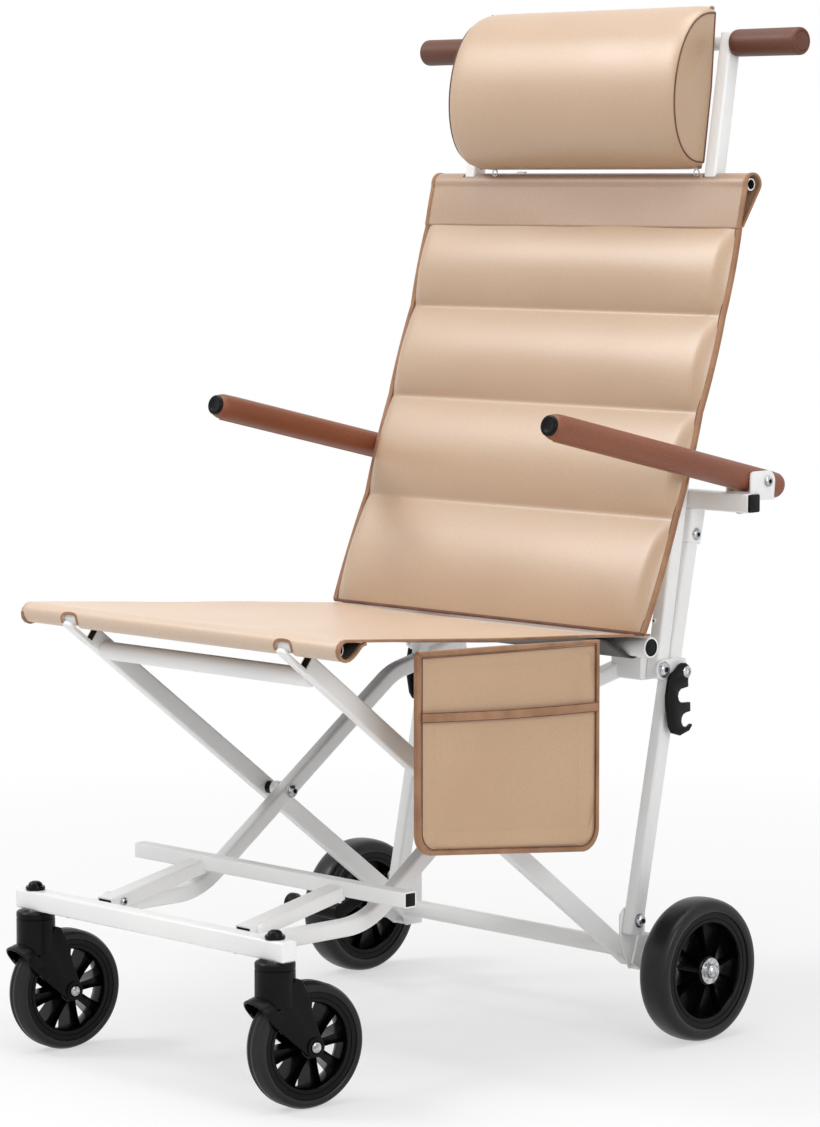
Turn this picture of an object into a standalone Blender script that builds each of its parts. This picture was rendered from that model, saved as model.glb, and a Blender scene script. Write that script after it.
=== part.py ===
"""Folding wheelchair: side scissor frame, sling seat, high channelled back and headrest roll.

Metres, +Z up. The chair faces -Y, the occupant's left is +X, and the wheels stand on Z = 0.
"""
from math import atan, atan2, cos, degrees, pi, radians, sin, sqrt, tan

import bmesh
import bpy
from mathutils import Matrix, Vector

for old in list(bpy.data.objects):
    bpy.data.objects.remove(old, do_unlink=True)

# Gap between pieces that touch
GAP = 0.0003

# How far the whole chair moves back at the end, so that its outline is centred on the origin
CENTRE_SHIFT = 0.0082

# Scissor frame, seen from the side: the pivot and the slope of the seat tubes
PIVOT_Y = -0.029
PIVOT_Z = 0.247
SEAT_SLOPE = 0.76
SEAT_ANGLE = atan(SEAT_SLOPE)
SEAT_TUBE_X = 0.162
SEAT_TUBE_WIDTH = 0.012
SEAT_TUBE_HEIGHT = 0.020
SEAT_TUBE_FRONT_Y = -0.270
SEAT_TUBE_REAR_Y = 0.196
SCISSOR_X = 0.128
SCISSOR_SLOPE = 0.72
SCISSOR_WIDTH = 0.016
SCISSOR_HEIGHT = 0.017
SCISSOR_LOW_Z = 0.154
SCISSOR_LOWER_BEND_R = 0.090
SCISSOR_UPPER_BEND_R = 0.070

# Front beam and footrest
BEAM_Y = -0.330
BEAM_Z = 0.160
BEAM_SIDE = 0.020
BEAM_HALF = 0.204
FOOT_HINGE_Y = -0.286
FOOT_HINGE_Z = 0.1635
FOOT_BAR_Y = -0.169
FOOT_BAR_Z = 0.190
FOOT_BAR_SIDE = 0.016
FOOT_BAR_HALF = 0.205
FOOT_ARM_WIDTH = 0.022
FOOT_ARM_HEIGHT = 0.015
FOOT_ARM_REACH = 0.015
LUG_THICK = 0.004
LUG_X = SCISSOR_X - SCISSOR_WIDTH / 2 + 0.001 - LUG_THICK / 2
FOOT_ARM_X = LUG_X - LUG_THICK / 2 - GAP - FOOT_ARM_WIDTH / 2

# Seat rails and cross tubes
RAIL_Y = -0.289
RAIL_Z = 0.4505
RAIL_R = 0.008
RAIL_HALF = 0.228
SEAT_BACK_Y = 0.172
SEAT_BACK_Z = 0.413
SEAT_BACK_R = 0.011
SEAT_BACK_HALF = 0.215
FRONT_CROSS_Y = -0.256
REAR_CROSS_Y = 0.179
CROSS_R = 0.0095

# Rear legs: a straight tube a side, from the foot hinge up to the armrest's side tube
LEG_FOOT_Y = 0.1875
LEG_FOOT_Z = 0.119
LEG_LEAN = 0.205
LEG_ANGLE = atan(LEG_LEAN)
LEG_X = 0.1786
LEG_WIDTH = 0.016
LEG_DEPTH = 0.018
LEG_BOTTOM_Z = 0.103

# Uprights: a straight tube a side ahead of the leg, from the catch bolt to the push handles
UPRIGHT_FOOT_Y = 0.2217
CATCH_Y = 0.2195
CATCH_Z = 0.3835
LEAN = 0.1663
LEAN_ANGLE = atan(LEAN)
UPRIGHT_WIDTH = 0.016
UPRIGHT_DEPTH = 0.018
UPRIGHT_BOTTOM_Z = 0.3725
UPRIGHT_TOP_Z = 1.053
HANDLE_Z = 1.042
HANDLE_R = 0.0075
HANDLE_HALF = 0.230
GRIP_R = 0.0145
GRIP_END_X = 0.278
TOP_TUBE_Z = 0.893
TOP_TUBE_R = 0.0065
TOP_TUBE_HALF = 0.2305

# Armrests and their supports
ARM_TUBE_Y = 0.2717
ARM_TUBE_Z = 0.561
ARM_TUBE_DEPTH = 0.018
ARM_TUBE_HEIGHT = 0.020
ARM_TUBE_START_X = 0.172
ARM_TUBE_END_X = 0.268
ARM_X = 0.250
ARM_R = 0.014
ARM_PIVOT_Y = 0.295
ARM_PIVOT_Z = 0.583
ARM_TILT = radians(12.8)
ARM_FRONT = 0.322
ARM_REAR = 0.036
ARM_CAP = 0.006

# Parking brake: its pivot on the right bracket and its bar
BRAKE_Y = 0.150
BRAKE_Z = 0.104
BRAKE_THICK = 0.003
BAR_Y = 0.1095
BAR_Z = 0.087

# Catch plates
CATCH_X = 0.1935
CATCH_THICK = 0.004
EAR_THICK = 0.003
RIVET_Y = 0.2480
RIVET_Z = 0.3795

# Wheels and casters
REAR_WHEEL_X = 0.256
REAR_WHEEL_Y = 0.202
REAR_WHEEL_R = 0.0755
REAR_TYRE_HALF = 0.018
REAR_RIM_R = 0.056
CASTER_X = 0.183
CASTER_WHEEL_R = 0.0625
CASTER_TYRE_HALF = 0.0132
CASTER_RIM_R = 0.0485
CASTER_TRAIL = 0.0345
CASTER_TURN = {"left": radians(8.5), "right": radians(6.0)}
CASTER_HOUSING_R = 0.020
SPOKES = 8

# Fabric
SLING_HALF = 0.2325
SEAT_HALF = 0.239
SEAT_REAR_HALF = 0.2145
SEAT_REAR_SLEEVE = 0.190
SHEET = 0.003
HEADREST_HALF = 0.168
HEADREST_LOW_Z = 0.908
HEADREST_HIGH_Z = 1.0825
HEADREST_DEPTH = 0.064
HEADREST_BACK_Y = 0.3175
HEADREST_LEAN = 0.045
POCKET_LOW_Z = 0.233
POCKET_HIGH_Z = 0.437
POCKET_FRONT_Y = -0.205
POCKET_REAR_Y = 0.049
POCKET_X = 0.2515
POCKET_THICK = 0.013

# Height and position of the back's seams, from the top band down: height and front surface
BACK_SEAMS = ((0.850, 0.2870), (0.757, 0.262), (0.657, 0.227), (0.5475, 0.190), (0.4315, 0.1405))
CHANNEL_PUFF = 0.017

SIDES = (("left", 1.0), ("right", -1.0))

part_collection = bpy.data.collections.new("folding_wheelchair")
tool_collection = bpy.data.collections.new("boolean_tools")
bpy.context.scene.collection.children.link(part_collection)
bpy.context.scene.collection.children.link(tool_collection)


def seat_tube_z(y):
    """Height of the seat tubes' centre line at y."""
    return PIVOT_Z - SEAT_SLOPE * (y - PIVOT_Y)


def leg_y(z):
    """Depth of the rear legs' centre line at height z."""
    return LEG_FOOT_Y + LEG_LEAN * (z - LEG_FOOT_Z)


def upright_y(z):
    """Depth of the uprights' centre line at height z."""
    return UPRIGHT_FOOT_Y + LEAN * (z - CATCH_Z)


def make_material(name, colour, roughness, metallic=0.0):
    material = bpy.data.materials.new(name)
    material.use_nodes = True
    shader = material.node_tree.nodes["Principled BSDF"]
    shader.inputs["Base Color"].default_value = (*colour, 1.0)
    shader.inputs["Roughness"].default_value = roughness
    shader.inputs["Metallic"].default_value = metallic
    return material


WHITE = make_material("white_powder_coat", (0.87, 0.87, 0.88), 0.35)
STEEL = make_material("bright_steel", (0.62, 0.62, 0.64), 0.25, 1.0)
BLACK = make_material("black_plastic", (0.012, 0.012, 0.013), 0.32)
TYRE = make_material("tyre_rubber", (0.035, 0.035, 0.038), 0.62)
BEIGE = make_material("beige_leatherette", (0.66, 0.50, 0.37), 0.42)
BROWN = make_material("brown_leatherette", (0.20, 0.085, 0.055), 0.45)


# Bodies: an empty on each joint axis carries the pieces that move with it

def make_body(name, location, parent=None, turn=0.0):
    empty = bpy.data.objects.new(name, None)
    empty.empty_display_size = 0.03
    part_collection.objects.link(empty)
    empty.matrix_world = Matrix.Translation(location) @ Matrix.Rotation(turn, 4, "Z")
    if parent:
        empty.parent = parent
        empty.matrix_parent_inverse = parent.matrix_world.inverted()
    return empty


def carry(piece, body):
    """Let a body's empty carry a piece without moving it."""
    bpy.context.view_layer.update()
    piece.parent = body
    piece.matrix_parent_inverse = body.matrix_world.inverted()
    return piece


def carry_with_tools(piece, body):
    """Carry a piece and the tools that shape it, where the body's empty turns later."""
    for change in piece.modifiers:
        if change.type == "BOOLEAN":
            carry(change.object, body)
    return carry(piece, body)


# Modelling helpers

def link(name, data, material, location=(0, 0, 0), rotation=(0, 0, 0)):
    obj = bpy.data.objects.new(name, data)
    obj.location = location
    obj.rotation_euler = rotation
    if material:
        data.materials.append(material)
    part_collection.objects.link(obj)
    return obj


def add_bevel(obj, width, segments=1):
    bevel = obj.modifiers.new("edge_bevel", "BEVEL")
    bevel.width = width
    bevel.segments = segments
    bevel.limit_method = "ANGLE"
    bevel.angle_limit = radians(40)
    return obj


def box(name, size, centre, material, rotation=(0, 0, 0), bevel=0.0, segments=1):
    """A block of a given size, with its edges bevelled."""
    mesh = bpy.data.meshes.new(name)
    shape = bmesh.new()
    bmesh.ops.create_cube(shape, size=1.0)
    bmesh.ops.scale(shape, vec=size, verts=shape.verts)
    shape.to_mesh(mesh)
    shape.free()
    obj = link(name, mesh, material, centre, rotation)
    return add_bevel(obj, bevel, segments) if bevel else obj


def rod(name, radius, x_low, x_high, y, z, material, sides=20, bevel=0.0):
    """A cylinder along X."""
    mesh = bpy.data.meshes.new(name)
    shape = bmesh.new()
    bmesh.ops.create_cone(shape, cap_ends=True, segments=sides, radius1=radius, radius2=radius,
                          depth=abs(x_high - x_low))
    bmesh.ops.rotate(shape, cent=(0, 0, 0), matrix=Matrix.Rotation(pi / 2, 3, "Y"), verts=shape.verts)
    shape.to_mesh(mesh)
    shape.free()
    obj = link(name, mesh, material, ((x_low + x_high) / 2, y, z))
    return add_bevel(obj, bevel) if bevel else obj


def turned(name, profile, material, centre, closed=True, steps=28):
    """A profile of (x, radius) points turned about X with a Screw modifier."""
    pairs = zip(profile, profile[1:] + profile[:1])
    if sum(x0 * r1 - x1 * r0 for (x0, r0), (x1, r1) in pairs) < 0:
        profile = profile[::-1]
    mesh = bpy.data.meshes.new(name)
    shape = bmesh.new()
    points = [shape.verts.new((x, 0, r)) for x, r in profile]
    for first, second in zip(points, points[1:]):
        shape.edges.new((first, second))
    if closed:
        shape.edges.new((points[-1], points[0]))
    shape.to_mesh(mesh)
    shape.free()
    obj = link(name, mesh, material, centre)
    screw = obj.modifiers.new("turn", "SCREW")
    screw.axis = "X"
    screw.steps = steps
    screw.render_steps = steps
    screw.use_merge_vertices = True
    screw.merge_threshold = 0.0001
    return obj


def plate(name, outline, thickness, x, material, holes=(), bevel=0.0):
    """A flat outline of (y, z) points, extruded along X about x, as a filled 2D curve."""
    curve = bpy.data.curves.new(name, "CURVE")
    curve.dimensions = "2D"
    curve.fill_mode = "BOTH"
    curve.extrude = thickness / 2
    for points in (outline, *holes):
        spline = curve.splines.new("POLY")
        spline.points.add(len(points) - 1)
        for spot, (y, z) in zip(spline.points, points):
            spot.co = (y, z, 0, 1)
        spline.use_cyclic_u = True
    flat = link(name, curve, None)
    flat.matrix_world = side_plane(x)
    obj = as_mesh(flat, material)
    return add_bevel(obj, bevel) if bevel else obj


def side_plane(x):
    """The matrix that lays a curve's XY plane on the world's YZ plane at x."""
    return Matrix(((0, 0, 1, x), (1, 0, 0, 0), (0, 1, 0, 0), (0, 0, 0, 1)))


def as_mesh(curve_object, material):
    """Replace a curve object with a welded mesh object of the same name and place."""
    name = curve_object.name
    bpy.context.view_layer.update()
    evaluated = curve_object.evaluated_get(bpy.context.evaluated_depsgraph_get())
    mesh = bpy.data.meshes.new_from_object(evaluated)
    mesh.transform(curve_object.matrix_world)
    bpy.data.objects.remove(curve_object, do_unlink=True)
    shape = bmesh.new()
    shape.from_mesh(mesh)
    bmesh.ops.remove_doubles(shape, verts=shape.verts, dist=0.00002)
    bmesh.ops.recalc_face_normals(shape, faces=shape.faces)
    shape.to_mesh(mesh)
    shape.free()
    mesh.materials.clear()
    return link(name, mesh, material)


def arc(cy, cz, radius, start, end, count):
    """Points on a circle in the YZ plane, angles in degrees from +Y."""
    angles = [radians(start + (end - start) * i / (count - 1)) for i in range(count)]
    return [(cy + radius * cos(a), cz + radius * sin(a)) for a in angles]


def fillet_path(points, radii, steps=6):
    """A (y, z) polyline with its inner corners rounded by the given radii."""
    path = [Vector(points[0])]
    for before, corner, after, radius in zip(points, points[1:], points[2:], radii):
        corner = Vector(corner)
        incoming = (Vector(before) - corner).normalized()
        outgoing = (Vector(after) - corner).normalized()
        half = incoming.angle(outgoing) / 2
        reach = radius / tan(half)
        centre = corner + (incoming + outgoing).normalized() * radius / sin(half)
        start = corner + incoming * reach - centre
        sweep = start.angle_signed(corner + outgoing * reach - centre)
        for i in range(steps + 1):
            turn = Matrix.Rotation(-sweep * i / steps, 2)
            path.append(centre + turn @ start)
    path.append(Vector(points[-1]))
    return path


def bent_bar(name, path, width, height, corner, x, material):
    """A bar of rounded rectangular section along a (y, z) path, as a curve with a bevel profile."""
    profile = bpy.data.curves.new(name + "_section", "CURVE")
    profile.dimensions = "2D"
    section = profile.splines.new("POLY")
    spots = []
    for sx, sz in ((1, 1), (-1, 1), (-1, -1), (1, -1)):
        near = (sx * (width / 2), sz * (height / 2 - corner))
        far = (sx * (width / 2 - corner), sz * (height / 2))
        spots.extend([near, far] if sx * sz > 0 else [far, near])
    section.points.add(len(spots) - 1)
    for spot, (px, pz) in zip(section.points, spots):
        spot.co = (px, pz, 0, 1)
    section.use_cyclic_u = True
    section_object = link(name + "_section", profile, None)
    curve = bpy.data.curves.new(name, "CURVE")
    curve.dimensions = "3D"
    curve.twist_mode = "Z_UP"
    curve.bevel_mode = "OBJECT"
    curve.bevel_object = section_object
    curve.use_fill_caps = True
    spline = curve.splines.new("POLY")
    spline.points.add(len(path) - 1)
    for spot, (y, z) in zip(spline.points, path):
        spot.co = (x, y, z, 1)
    obj = as_mesh(link(name, curve, None), material)
    bpy.data.objects.remove(section_object, do_unlink=True)
    return obj


def use_tool(target, tool, operation):
    """Cut or join target with a hidden tool object by an exact Boolean."""
    for group in tool.users_collection:
        group.objects.unlink(tool)
    tool_collection.objects.link(tool)
    tool.display_type = "WIRE"
    tool.hide_render = True
    tool.hide_viewport = False
    change = target.modifiers.new(tool.name, "BOOLEAN")
    change.operation = operation
    change.solver = "EXACT"
    change.object = tool
    return target


def cut(target, tool):
    return use_tool(target, tool, "DIFFERENCE")


def weld(target, tool):
    return use_tool(target, tool, "UNION")


def bolt(name, radius, x_inner, x_outer, y, z, head_r, head, nut_r, nut, body):
    """A bolt along X: a shank with a domed head beyond x_outer, and a nut beyond x_inner if nut isn't 0."""
    out = 1.0 if x_outer > x_inner else -1.0
    if nut:
        nut_end = x_inner - out * nut
        start = [(nut_end, 0.0), (nut_end, nut_r), (x_inner, nut_r), (x_inner, radius)]
    else:
        start = [(x_inner, 0.0), (x_inner, radius)]
    profile = start + [(x_outer, radius), (x_outer, head_r), (x_outer + out * head * 0.6, head_r * 0.9),
                       (x_outer + out * head, head_r * 0.45), (x_outer + out * head, 0.0)]
    return carry(turned(name, profile, STEEL, (0, y, z), closed=False, steps=12), body)


# The joint axes

seat_body = make_body("seat_frame", (0, 0, 0))
rear_body = make_body("rear_frame", (0, LEG_FOOT_Y, LEG_FOOT_Z), seat_body)
front_body = make_body("front_frame", (0, PIVOT_Y, PIVOT_Z), seat_body)
foot_body = make_body("footrest", (0, FOOT_HINGE_Y, FOOT_HINGE_Z), front_body)


# Seat frame: two flat tubes, the front rail and two cross tubes

def rail_tongue(side, sign):
    """The seat tube's lower wall, which runs on ahead of the tube and is bolted up to the rail."""
    thick = 0.0054
    along = Vector((-cos(SEAT_ANGLE), sin(SEAT_ANGLE)))
    out = Vector((-sin(SEAT_ANGLE), -cos(SEAT_ANGLE)))
    rail = Vector((RAIL_Y, RAIL_Z))
    wall = (Vector((RAIL_Y, seat_tube_z(RAIL_Y))) - rail).dot(out) + SEAT_TUBE_HEIGHT / 2
    tip = rail + along * 0.0055 + out * (wall - thick / 2)
    turn = degrees(atan2(out.y, out.x))
    upper = wall - thick
    root = rail - along * 0.042
    seat = RAIL_R - 0.001
    outline = [root + out * (wall - 0.0008), root + out * upper]
    outline += [rail - along * 0.0045 + out * upper, rail - along * 0.0035 + out * seat]
    outline += [rail + along * 0.0035 + out * seat, rail + along * 0.0045 + out * upper]
    outline += arc(tip.x, tip.y, thick / 2, turn - 180, turn - 360, 6)
    return plate("rail_tongue_" + side, outline, SEAT_TUBE_WIDTH - 0.001, sign * SEAT_TUBE_X, None)


def seat_tube(side, sign):
    middle_y = (SEAT_TUBE_FRONT_Y + SEAT_TUBE_REAR_Y) / 2
    length = (SEAT_TUBE_REAR_Y - SEAT_TUBE_FRONT_Y) / cos(SEAT_ANGLE)
    tube = box("seat_tube_" + side, (SEAT_TUBE_WIDTH, length, SEAT_TUBE_HEIGHT),
               (sign * SEAT_TUBE_X, middle_y, seat_tube_z(middle_y)), WHITE, (-SEAT_ANGLE, 0, 0), 0.002)
    weld(tube, rail_tongue(side, sign))
    cut(tube, rod("rail_notch_" + side, RAIL_R + GAP, -0.3, 0.3, RAIL_Y, RAIL_Z, None))
    cut(tube, rod("pivot_bore_" + side, 0.0043, -0.3, 0.3, PIVOT_Y, PIVOT_Z, None, 12))
    carry(tube, seat_body)


def cross_tube(name, y, drop=0.0):
    half = SEAT_TUBE_X - SEAT_TUBE_WIDTH / 2 - GAP
    carry(rod(name, CROSS_R, -half, half, y, seat_tube_z(y) - drop, WHITE), seat_body)


for side, sign in SIDES:
    seat_tube(side, sign)
carry(rod("seat_front_rail", RAIL_R, -RAIL_HALF, RAIL_HALF, RAIL_Y, RAIL_Z, WHITE, 20, 0.001), seat_body)
cross_tube("front_cross_tube", FRONT_CROSS_Y, 0.005)
cross_tube("rear_cross_tube", REAR_CROSS_Y)


# Rear brackets: a folded sheet round each leg's foot, with the stub that carries the wheel

INNER_CHEEK = 0.002
OUTER_CHEEK = 0.003
BRACKET_FRONT_Y = 0.1755
BRACKET_REAR_Y = 0.214
BRACKET_LOW_Z = 0.0645
BRACKET_TOP_Z = 0.131
SHELF_TOP_Z = 0.104
BRACKET_SHEET = 0.003


def rear_bracket(side, sign):
    """An inner cheek on the seat tube, a lower outer cheek, and a web and a floor between them."""
    inner_x = SEAT_TUBE_X + SEAT_TUBE_WIDTH / 2 + GAP
    outer_x = LEG_X + LEG_WIDTH / 2 + GAP
    outside = outer_x + OUTER_CHEEK
    floor_front = BRACKET_REAR_Y - 0.024
    inner = [(BRACKET_FRONT_Y, 0.096), (floor_front, BRACKET_LOW_Z), (BRACKET_REAR_Y, BRACKET_LOW_Z),
             (BRACKET_REAR_Y, 0.121), (0.204, BRACKET_TOP_Z), (0.182, BRACKET_TOP_Z),
             (BRACKET_FRONT_Y, 0.124)]
    outer = [(0.174, 0.0755), (floor_front, BRACKET_LOW_Z), (BRACKET_REAR_Y, BRACKET_LOW_Z),
             (BRACKET_REAR_Y, SHELF_TOP_Z - 0.002), (0.1835, SHELF_TOP_Z)]
    if side == "right":
        outer += arc(BRAKE_Y, BRAKE_Z, 0.0080, 80, 290, 8) + [(0.1765, 0.083)]
    outer_middle = sign * (outer_x + OUTER_CHEEK / 2)
    bracket = plate("rear_bracket_" + side, inner, INNER_CHEEK, sign * (inner_x + INNER_CHEEK / 2), WHITE)
    weld(bracket, plate("bracket_outer_" + side, outer, OUTER_CHEEK, outer_middle, None))
    web_x = sign * (inner_x + outside) / 2
    web_width = outside - inner_x - 0.0004
    web_high = SHELF_TOP_Z - 0.003 - BRACKET_LOW_Z
    web_y = BRACKET_REAR_Y - BRACKET_SHEET / 2 - GAP
    floor_z = BRACKET_LOW_Z + BRACKET_SHEET / 2 + GAP
    weld(bracket, box("bracket_web_" + side, (web_width, BRACKET_SHEET, web_high),
                      (web_x, web_y, BRACKET_LOW_Z + GAP + web_high / 2), None))
    weld(bracket, box("bracket_floor_" + side, (web_width, 0.022, BRACKET_SHEET),
                      (web_x, BRACKET_REAR_Y - 0.0115, floor_z), None))
    stub_end = sign * (REAR_WHEEL_X - REAR_TYRE_HALF - 0.002)
    weld(bracket, rod("bracket_stub_" + side, 0.010, sign * (outside - 0.001), stub_end,
                      REAR_WHEEL_Y, REAR_WHEEL_R, None, 16))
    if side == "right":
        pin_end = sign * (outside + GAP + BRAKE_THICK + 0.003)
        weld(bracket, rod("brake_pin", 0.003, sign * (outer_x + 0.001), pin_end, BRAKE_Y, BRAKE_Z, None, 12))
    cut(bracket, rod("bracket_bore_" + side, 0.0043, sign * 0.16, sign * 0.2, LEG_FOOT_Y, LEG_FOOT_Z,
                     None, 12))
    carry(bracket, seat_body)
    bolt("frame_hinge_bolt_" + side, 0.004, sign * (inner_x - GAP / 2), sign * outer_x,
         LEG_FOOT_Y, LEG_FOOT_Z, 0.0065, 0.005, 0.0055, 0.0045, seat_body)


for side, sign in SIDES:
    rear_bracket(side, sign)


# Scissor pivots: a shoulder bolt whose thick middle spaces the two tubes

def scissor_pivot(side, sign):
    outer_face = SEAT_TUBE_X + SEAT_TUBE_WIDTH / 2 + GAP
    shoulder_out = SEAT_TUBE_X - SEAT_TUBE_WIDTH / 2 - GAP
    shoulder_in = SCISSOR_X + SCISSOR_WIDTH / 2 + GAP
    inner_face = SCISSOR_X - SCISSOR_WIDTH / 2 - GAP
    shank_r = 0.004
    head_r = 0.0065
    shoulder_r = 0.009
    profile = [(outer_face + 0.004, 0.0), (outer_face + 0.004, 0.004), (outer_face + 0.0028, 0.006),
               (outer_face, head_r), (outer_face, shank_r), (shoulder_out, shank_r),
               (shoulder_out, shoulder_r), (shoulder_in, shoulder_r), (shoulder_in, shank_r),
               (inner_face, shank_r), (inner_face, head_r), (inner_face - 0.0035, 0.006),
               (inner_face - 0.005, 0.003), (inner_face - 0.005, 0.0)]
    points = [(sign * x, r) for x, r in profile]
    pin = turned("scissor_bolt_" + side, points, STEEL, (0, PIVOT_Y, PIVOT_Z), closed=False, steps=16)
    carry(pin, seat_body)


for side, sign in SIDES:
    scissor_pivot(side, sign)


# Front frame: two bent scissor tubes, the beam and the tube behind the seat

def foot_bolt_end():
    """How far out the blind bore for the footrest's bolt goes in the lug."""
    return LUG_X + LUG_THICK / 2 - 0.0005


def scissor_tube(side, sign):
    lower_bend = (PIVOT_Y - (PIVOT_Z - SCISSOR_LOW_Z) / SCISSOR_SLOPE, SCISSOR_LOW_Z)
    upper_bend = (PIVOT_Y + 0.157, PIVOT_Z + 0.157 * SCISSOR_SLOPE)
    start = (BEAM_Y + BEAM_SIDE / 2 + GAP, SCISSOR_LOW_Z)
    top = (0.236, 0.3845)
    path = fillet_path([start, lower_bend, upper_bend, top], [SCISSOR_LOWER_BEND_R, SCISSOR_UPPER_BEND_R])
    tube = bent_bar("scissor_tube_" + side, path, SCISSOR_WIDTH, SCISSOR_HEIGHT, 0.003,
                    sign * SCISSOR_X, WHITE)
    block_low = SCISSOR_X
    block_high = LEG_X - LEG_WIDTH / 2 - GAP
    weld(tube, box("catch_block_" + side, (block_high - block_low, 0.033, 0.024),
                   (sign * (block_low + block_high) / 2, 0.2215, CATCH_Z), None, bevel=0.001))
    saddle_low = 0.368
    saddle_high = SEAT_BACK_Z
    saddle = box("saddle_" + side, (0.012, 0.016, saddle_high - saddle_low),
                 (sign * SCISSOR_X, SEAT_BACK_Y, (saddle_low + saddle_high) / 2), None)
    cut(saddle, rod("saddle_seat_" + side, SEAT_BACK_R + GAP, -0.3, 0.3, SEAT_BACK_Y, SEAT_BACK_Z, None))
    weld(tube, saddle)
    cut(tube, rod("scissor_bore_" + side, 0.0043, -0.3, 0.3, PIVOT_Y, PIVOT_Z, None, 12))
    lug = arc(FOOT_HINGE_Y, FOOT_HINGE_Z, 0.0075, 0, 180, 7)
    lug_low = SCISSOR_LOW_Z - 0.0045
    lug += [(FOOT_HINGE_Y - 0.0085, lug_low), (FOOT_HINGE_Y + 0.0085, lug_low)]
    weld(tube, plate("hinge_lug_" + side, lug, LUG_THICK, sign * LUG_X, None))
    cut(tube, rod("foot_bore_" + side, 0.0028, sign * 0.1, sign * foot_bolt_end(),
                  FOOT_HINGE_Y, FOOT_HINGE_Z, None, 12))
    carry(tube, front_body)


for side, sign in SIDES:
    scissor_tube(side, sign)
beam = box("front_beam", (2 * BEAM_HALF, BEAM_SIDE, BEAM_SIDE), (0, BEAM_Y, BEAM_Z), WHITE,
           bevel=0.002, segments=2)
carry(beam, front_body)
rear_tube = rod("rear_seat_tube", SEAT_BACK_R, -SEAT_BACK_HALF, SEAT_BACK_HALF, SEAT_BACK_Y, SEAT_BACK_Z,
                WHITE, 20)
carry(rear_tube, front_body)


# Footrest: a bar on two arms that flips over the beam

def footrest_frame():
    """The foot bar and the two arms that lie beside the scissor tubes and turn over the beam."""
    frame = box("footrest_frame", (2 * FOOT_BAR_HALF, FOOT_BAR_SIDE, FOOT_BAR_SIDE),
                (0, FOOT_BAR_Y, FOOT_BAR_Z), WHITE, bevel=0.0015)
    hinge = Vector((FOOT_HINGE_Y, FOOT_HINGE_Z))
    rear = Vector((FOOT_BAR_Y - FOOT_BAR_SIDE / 2 + 0.002, FOOT_BAR_Z - 0.004))
    along = (rear - hinge).normalized()
    up = Vector((-along.y, along.x)) * FOOT_ARM_HEIGHT / 2
    front = hinge - along * FOOT_ARM_REACH
    outline = [front - up, rear - up, rear + up, front + up]
    for side, sign in SIDES:
        weld(frame, plate("footrest_arm_" + side, outline, FOOT_ARM_WIDTH, sign * FOOT_ARM_X, None))
    cut(frame, rod("footrest_bore", 0.0028, -0.3, 0.3, FOOT_HINGE_Y, FOOT_HINGE_Z, None, 12))
    carry(frame, foot_body)


footrest_frame()
for side, sign in SIDES:
    bolt("footrest_bolt_" + side, 0.0025, sign * (foot_bolt_end() - GAP),
         sign * (FOOT_ARM_X - FOOT_ARM_WIDTH / 2 - GAP), FOOT_HINGE_Y, FOOT_HINGE_Z,
         0.0045, 0.0028, 0.0, 0.0, front_body)


# Wheels: a spoked rim and a tyre

def wheel(name, x, y, z, radius, rim_r, half, hub_half, bore, body):
    spoke_half = half * 0.34
    rim_half = half * 0.72
    lip = 0.0035
    rim = turned(name + "_rim", [(-rim_half, rim_r - lip), (-rim_half, rim_r), (rim_half, rim_r),
                                 (rim_half, rim_r - lip), (spoke_half, rim_r - 2.4 * lip),
                                 (-spoke_half, rim_r - 2.4 * lip)], BLACK, (x, y, z))
    spokes = bpy.data.meshes.new(name + "_spokes")
    shape = bmesh.new()
    inner = bore + 0.005
    outer = rim_r - 2 * lip
    for i in range(SPOKES):
        made = bmesh.ops.create_cube(shape, size=1.0)["verts"]
        bmesh.ops.scale(shape, vec=(2 * spoke_half, 0.0085, outer - inner), verts=made)
        bmesh.ops.translate(shape, vec=(0, 0, (outer + inner) / 2), verts=made)
        turn = Matrix.Rotation(2 * pi * i / SPOKES, 3, "X")
        bmesh.ops.rotate(shape, cent=(0, 0, 0), matrix=turn, verts=made)
    shape.to_mesh(spokes)
    shape.free()
    weld(rim, link(name + "_spokes", spokes, None, (x, y, z)))
    hub_r = bore + 0.010
    hub = [(-hub_half, bore), (-hub_half, hub_r), (hub_half, hub_r), (hub_half, bore)]
    weld(rim, turned(name + "_hub", hub, None, (x, y, z), steps=16))
    carry(rim, body)
    inside = rim_r + GAP
    profile = [(-half * 0.80, inside), (-half, inside + 0.004), (-half, radius - 0.42 * half),
               (-half * 0.55, radius - 0.09 * half), (0, radius), (half * 0.55, radius - 0.09 * half),
               (half, radius - 0.42 * half), (half, inside + 0.004), (half * 0.80, inside)]
    carry(turned(name + "_tyre", profile, TYRE, (x, y, z), steps=32), body)


for side, sign in SIDES:
    spin = make_body("rear_wheel_" + side, (sign * REAR_WHEEL_X, REAR_WHEEL_Y, REAR_WHEEL_R), seat_body)
    wheel("rear_wheel_" + side, sign * REAR_WHEEL_X, REAR_WHEEL_Y, REAR_WHEEL_R, REAR_WHEEL_R, REAR_RIM_R,
          REAR_TYRE_HALF, 0.0165, 0.0055, spin)
    stub = REAR_WHEEL_X - REAR_TYRE_HALF - 0.002 + GAP
    face = REAR_WHEEL_X + 0.0165 + GAP
    axle = [(stub, 0.0), (stub, 0.005), (face, 0.005), (face, 0.0135), (face + 0.0015, 0.0135),
            (face + 0.0015, 0.008), (face + 0.005, 0.007), (face + 0.007, 0.0035), (face + 0.007, 0.0)]
    carry(turned("rear_axle_" + side, [(sign * px, r) for px, r in axle], STEEL,
                 (0, REAR_WHEEL_Y, REAR_WHEEL_R), closed=False, steps=16), seat_body)


# Casters: a moulded fork on a swivel housing, its bolt and a wheel

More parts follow.
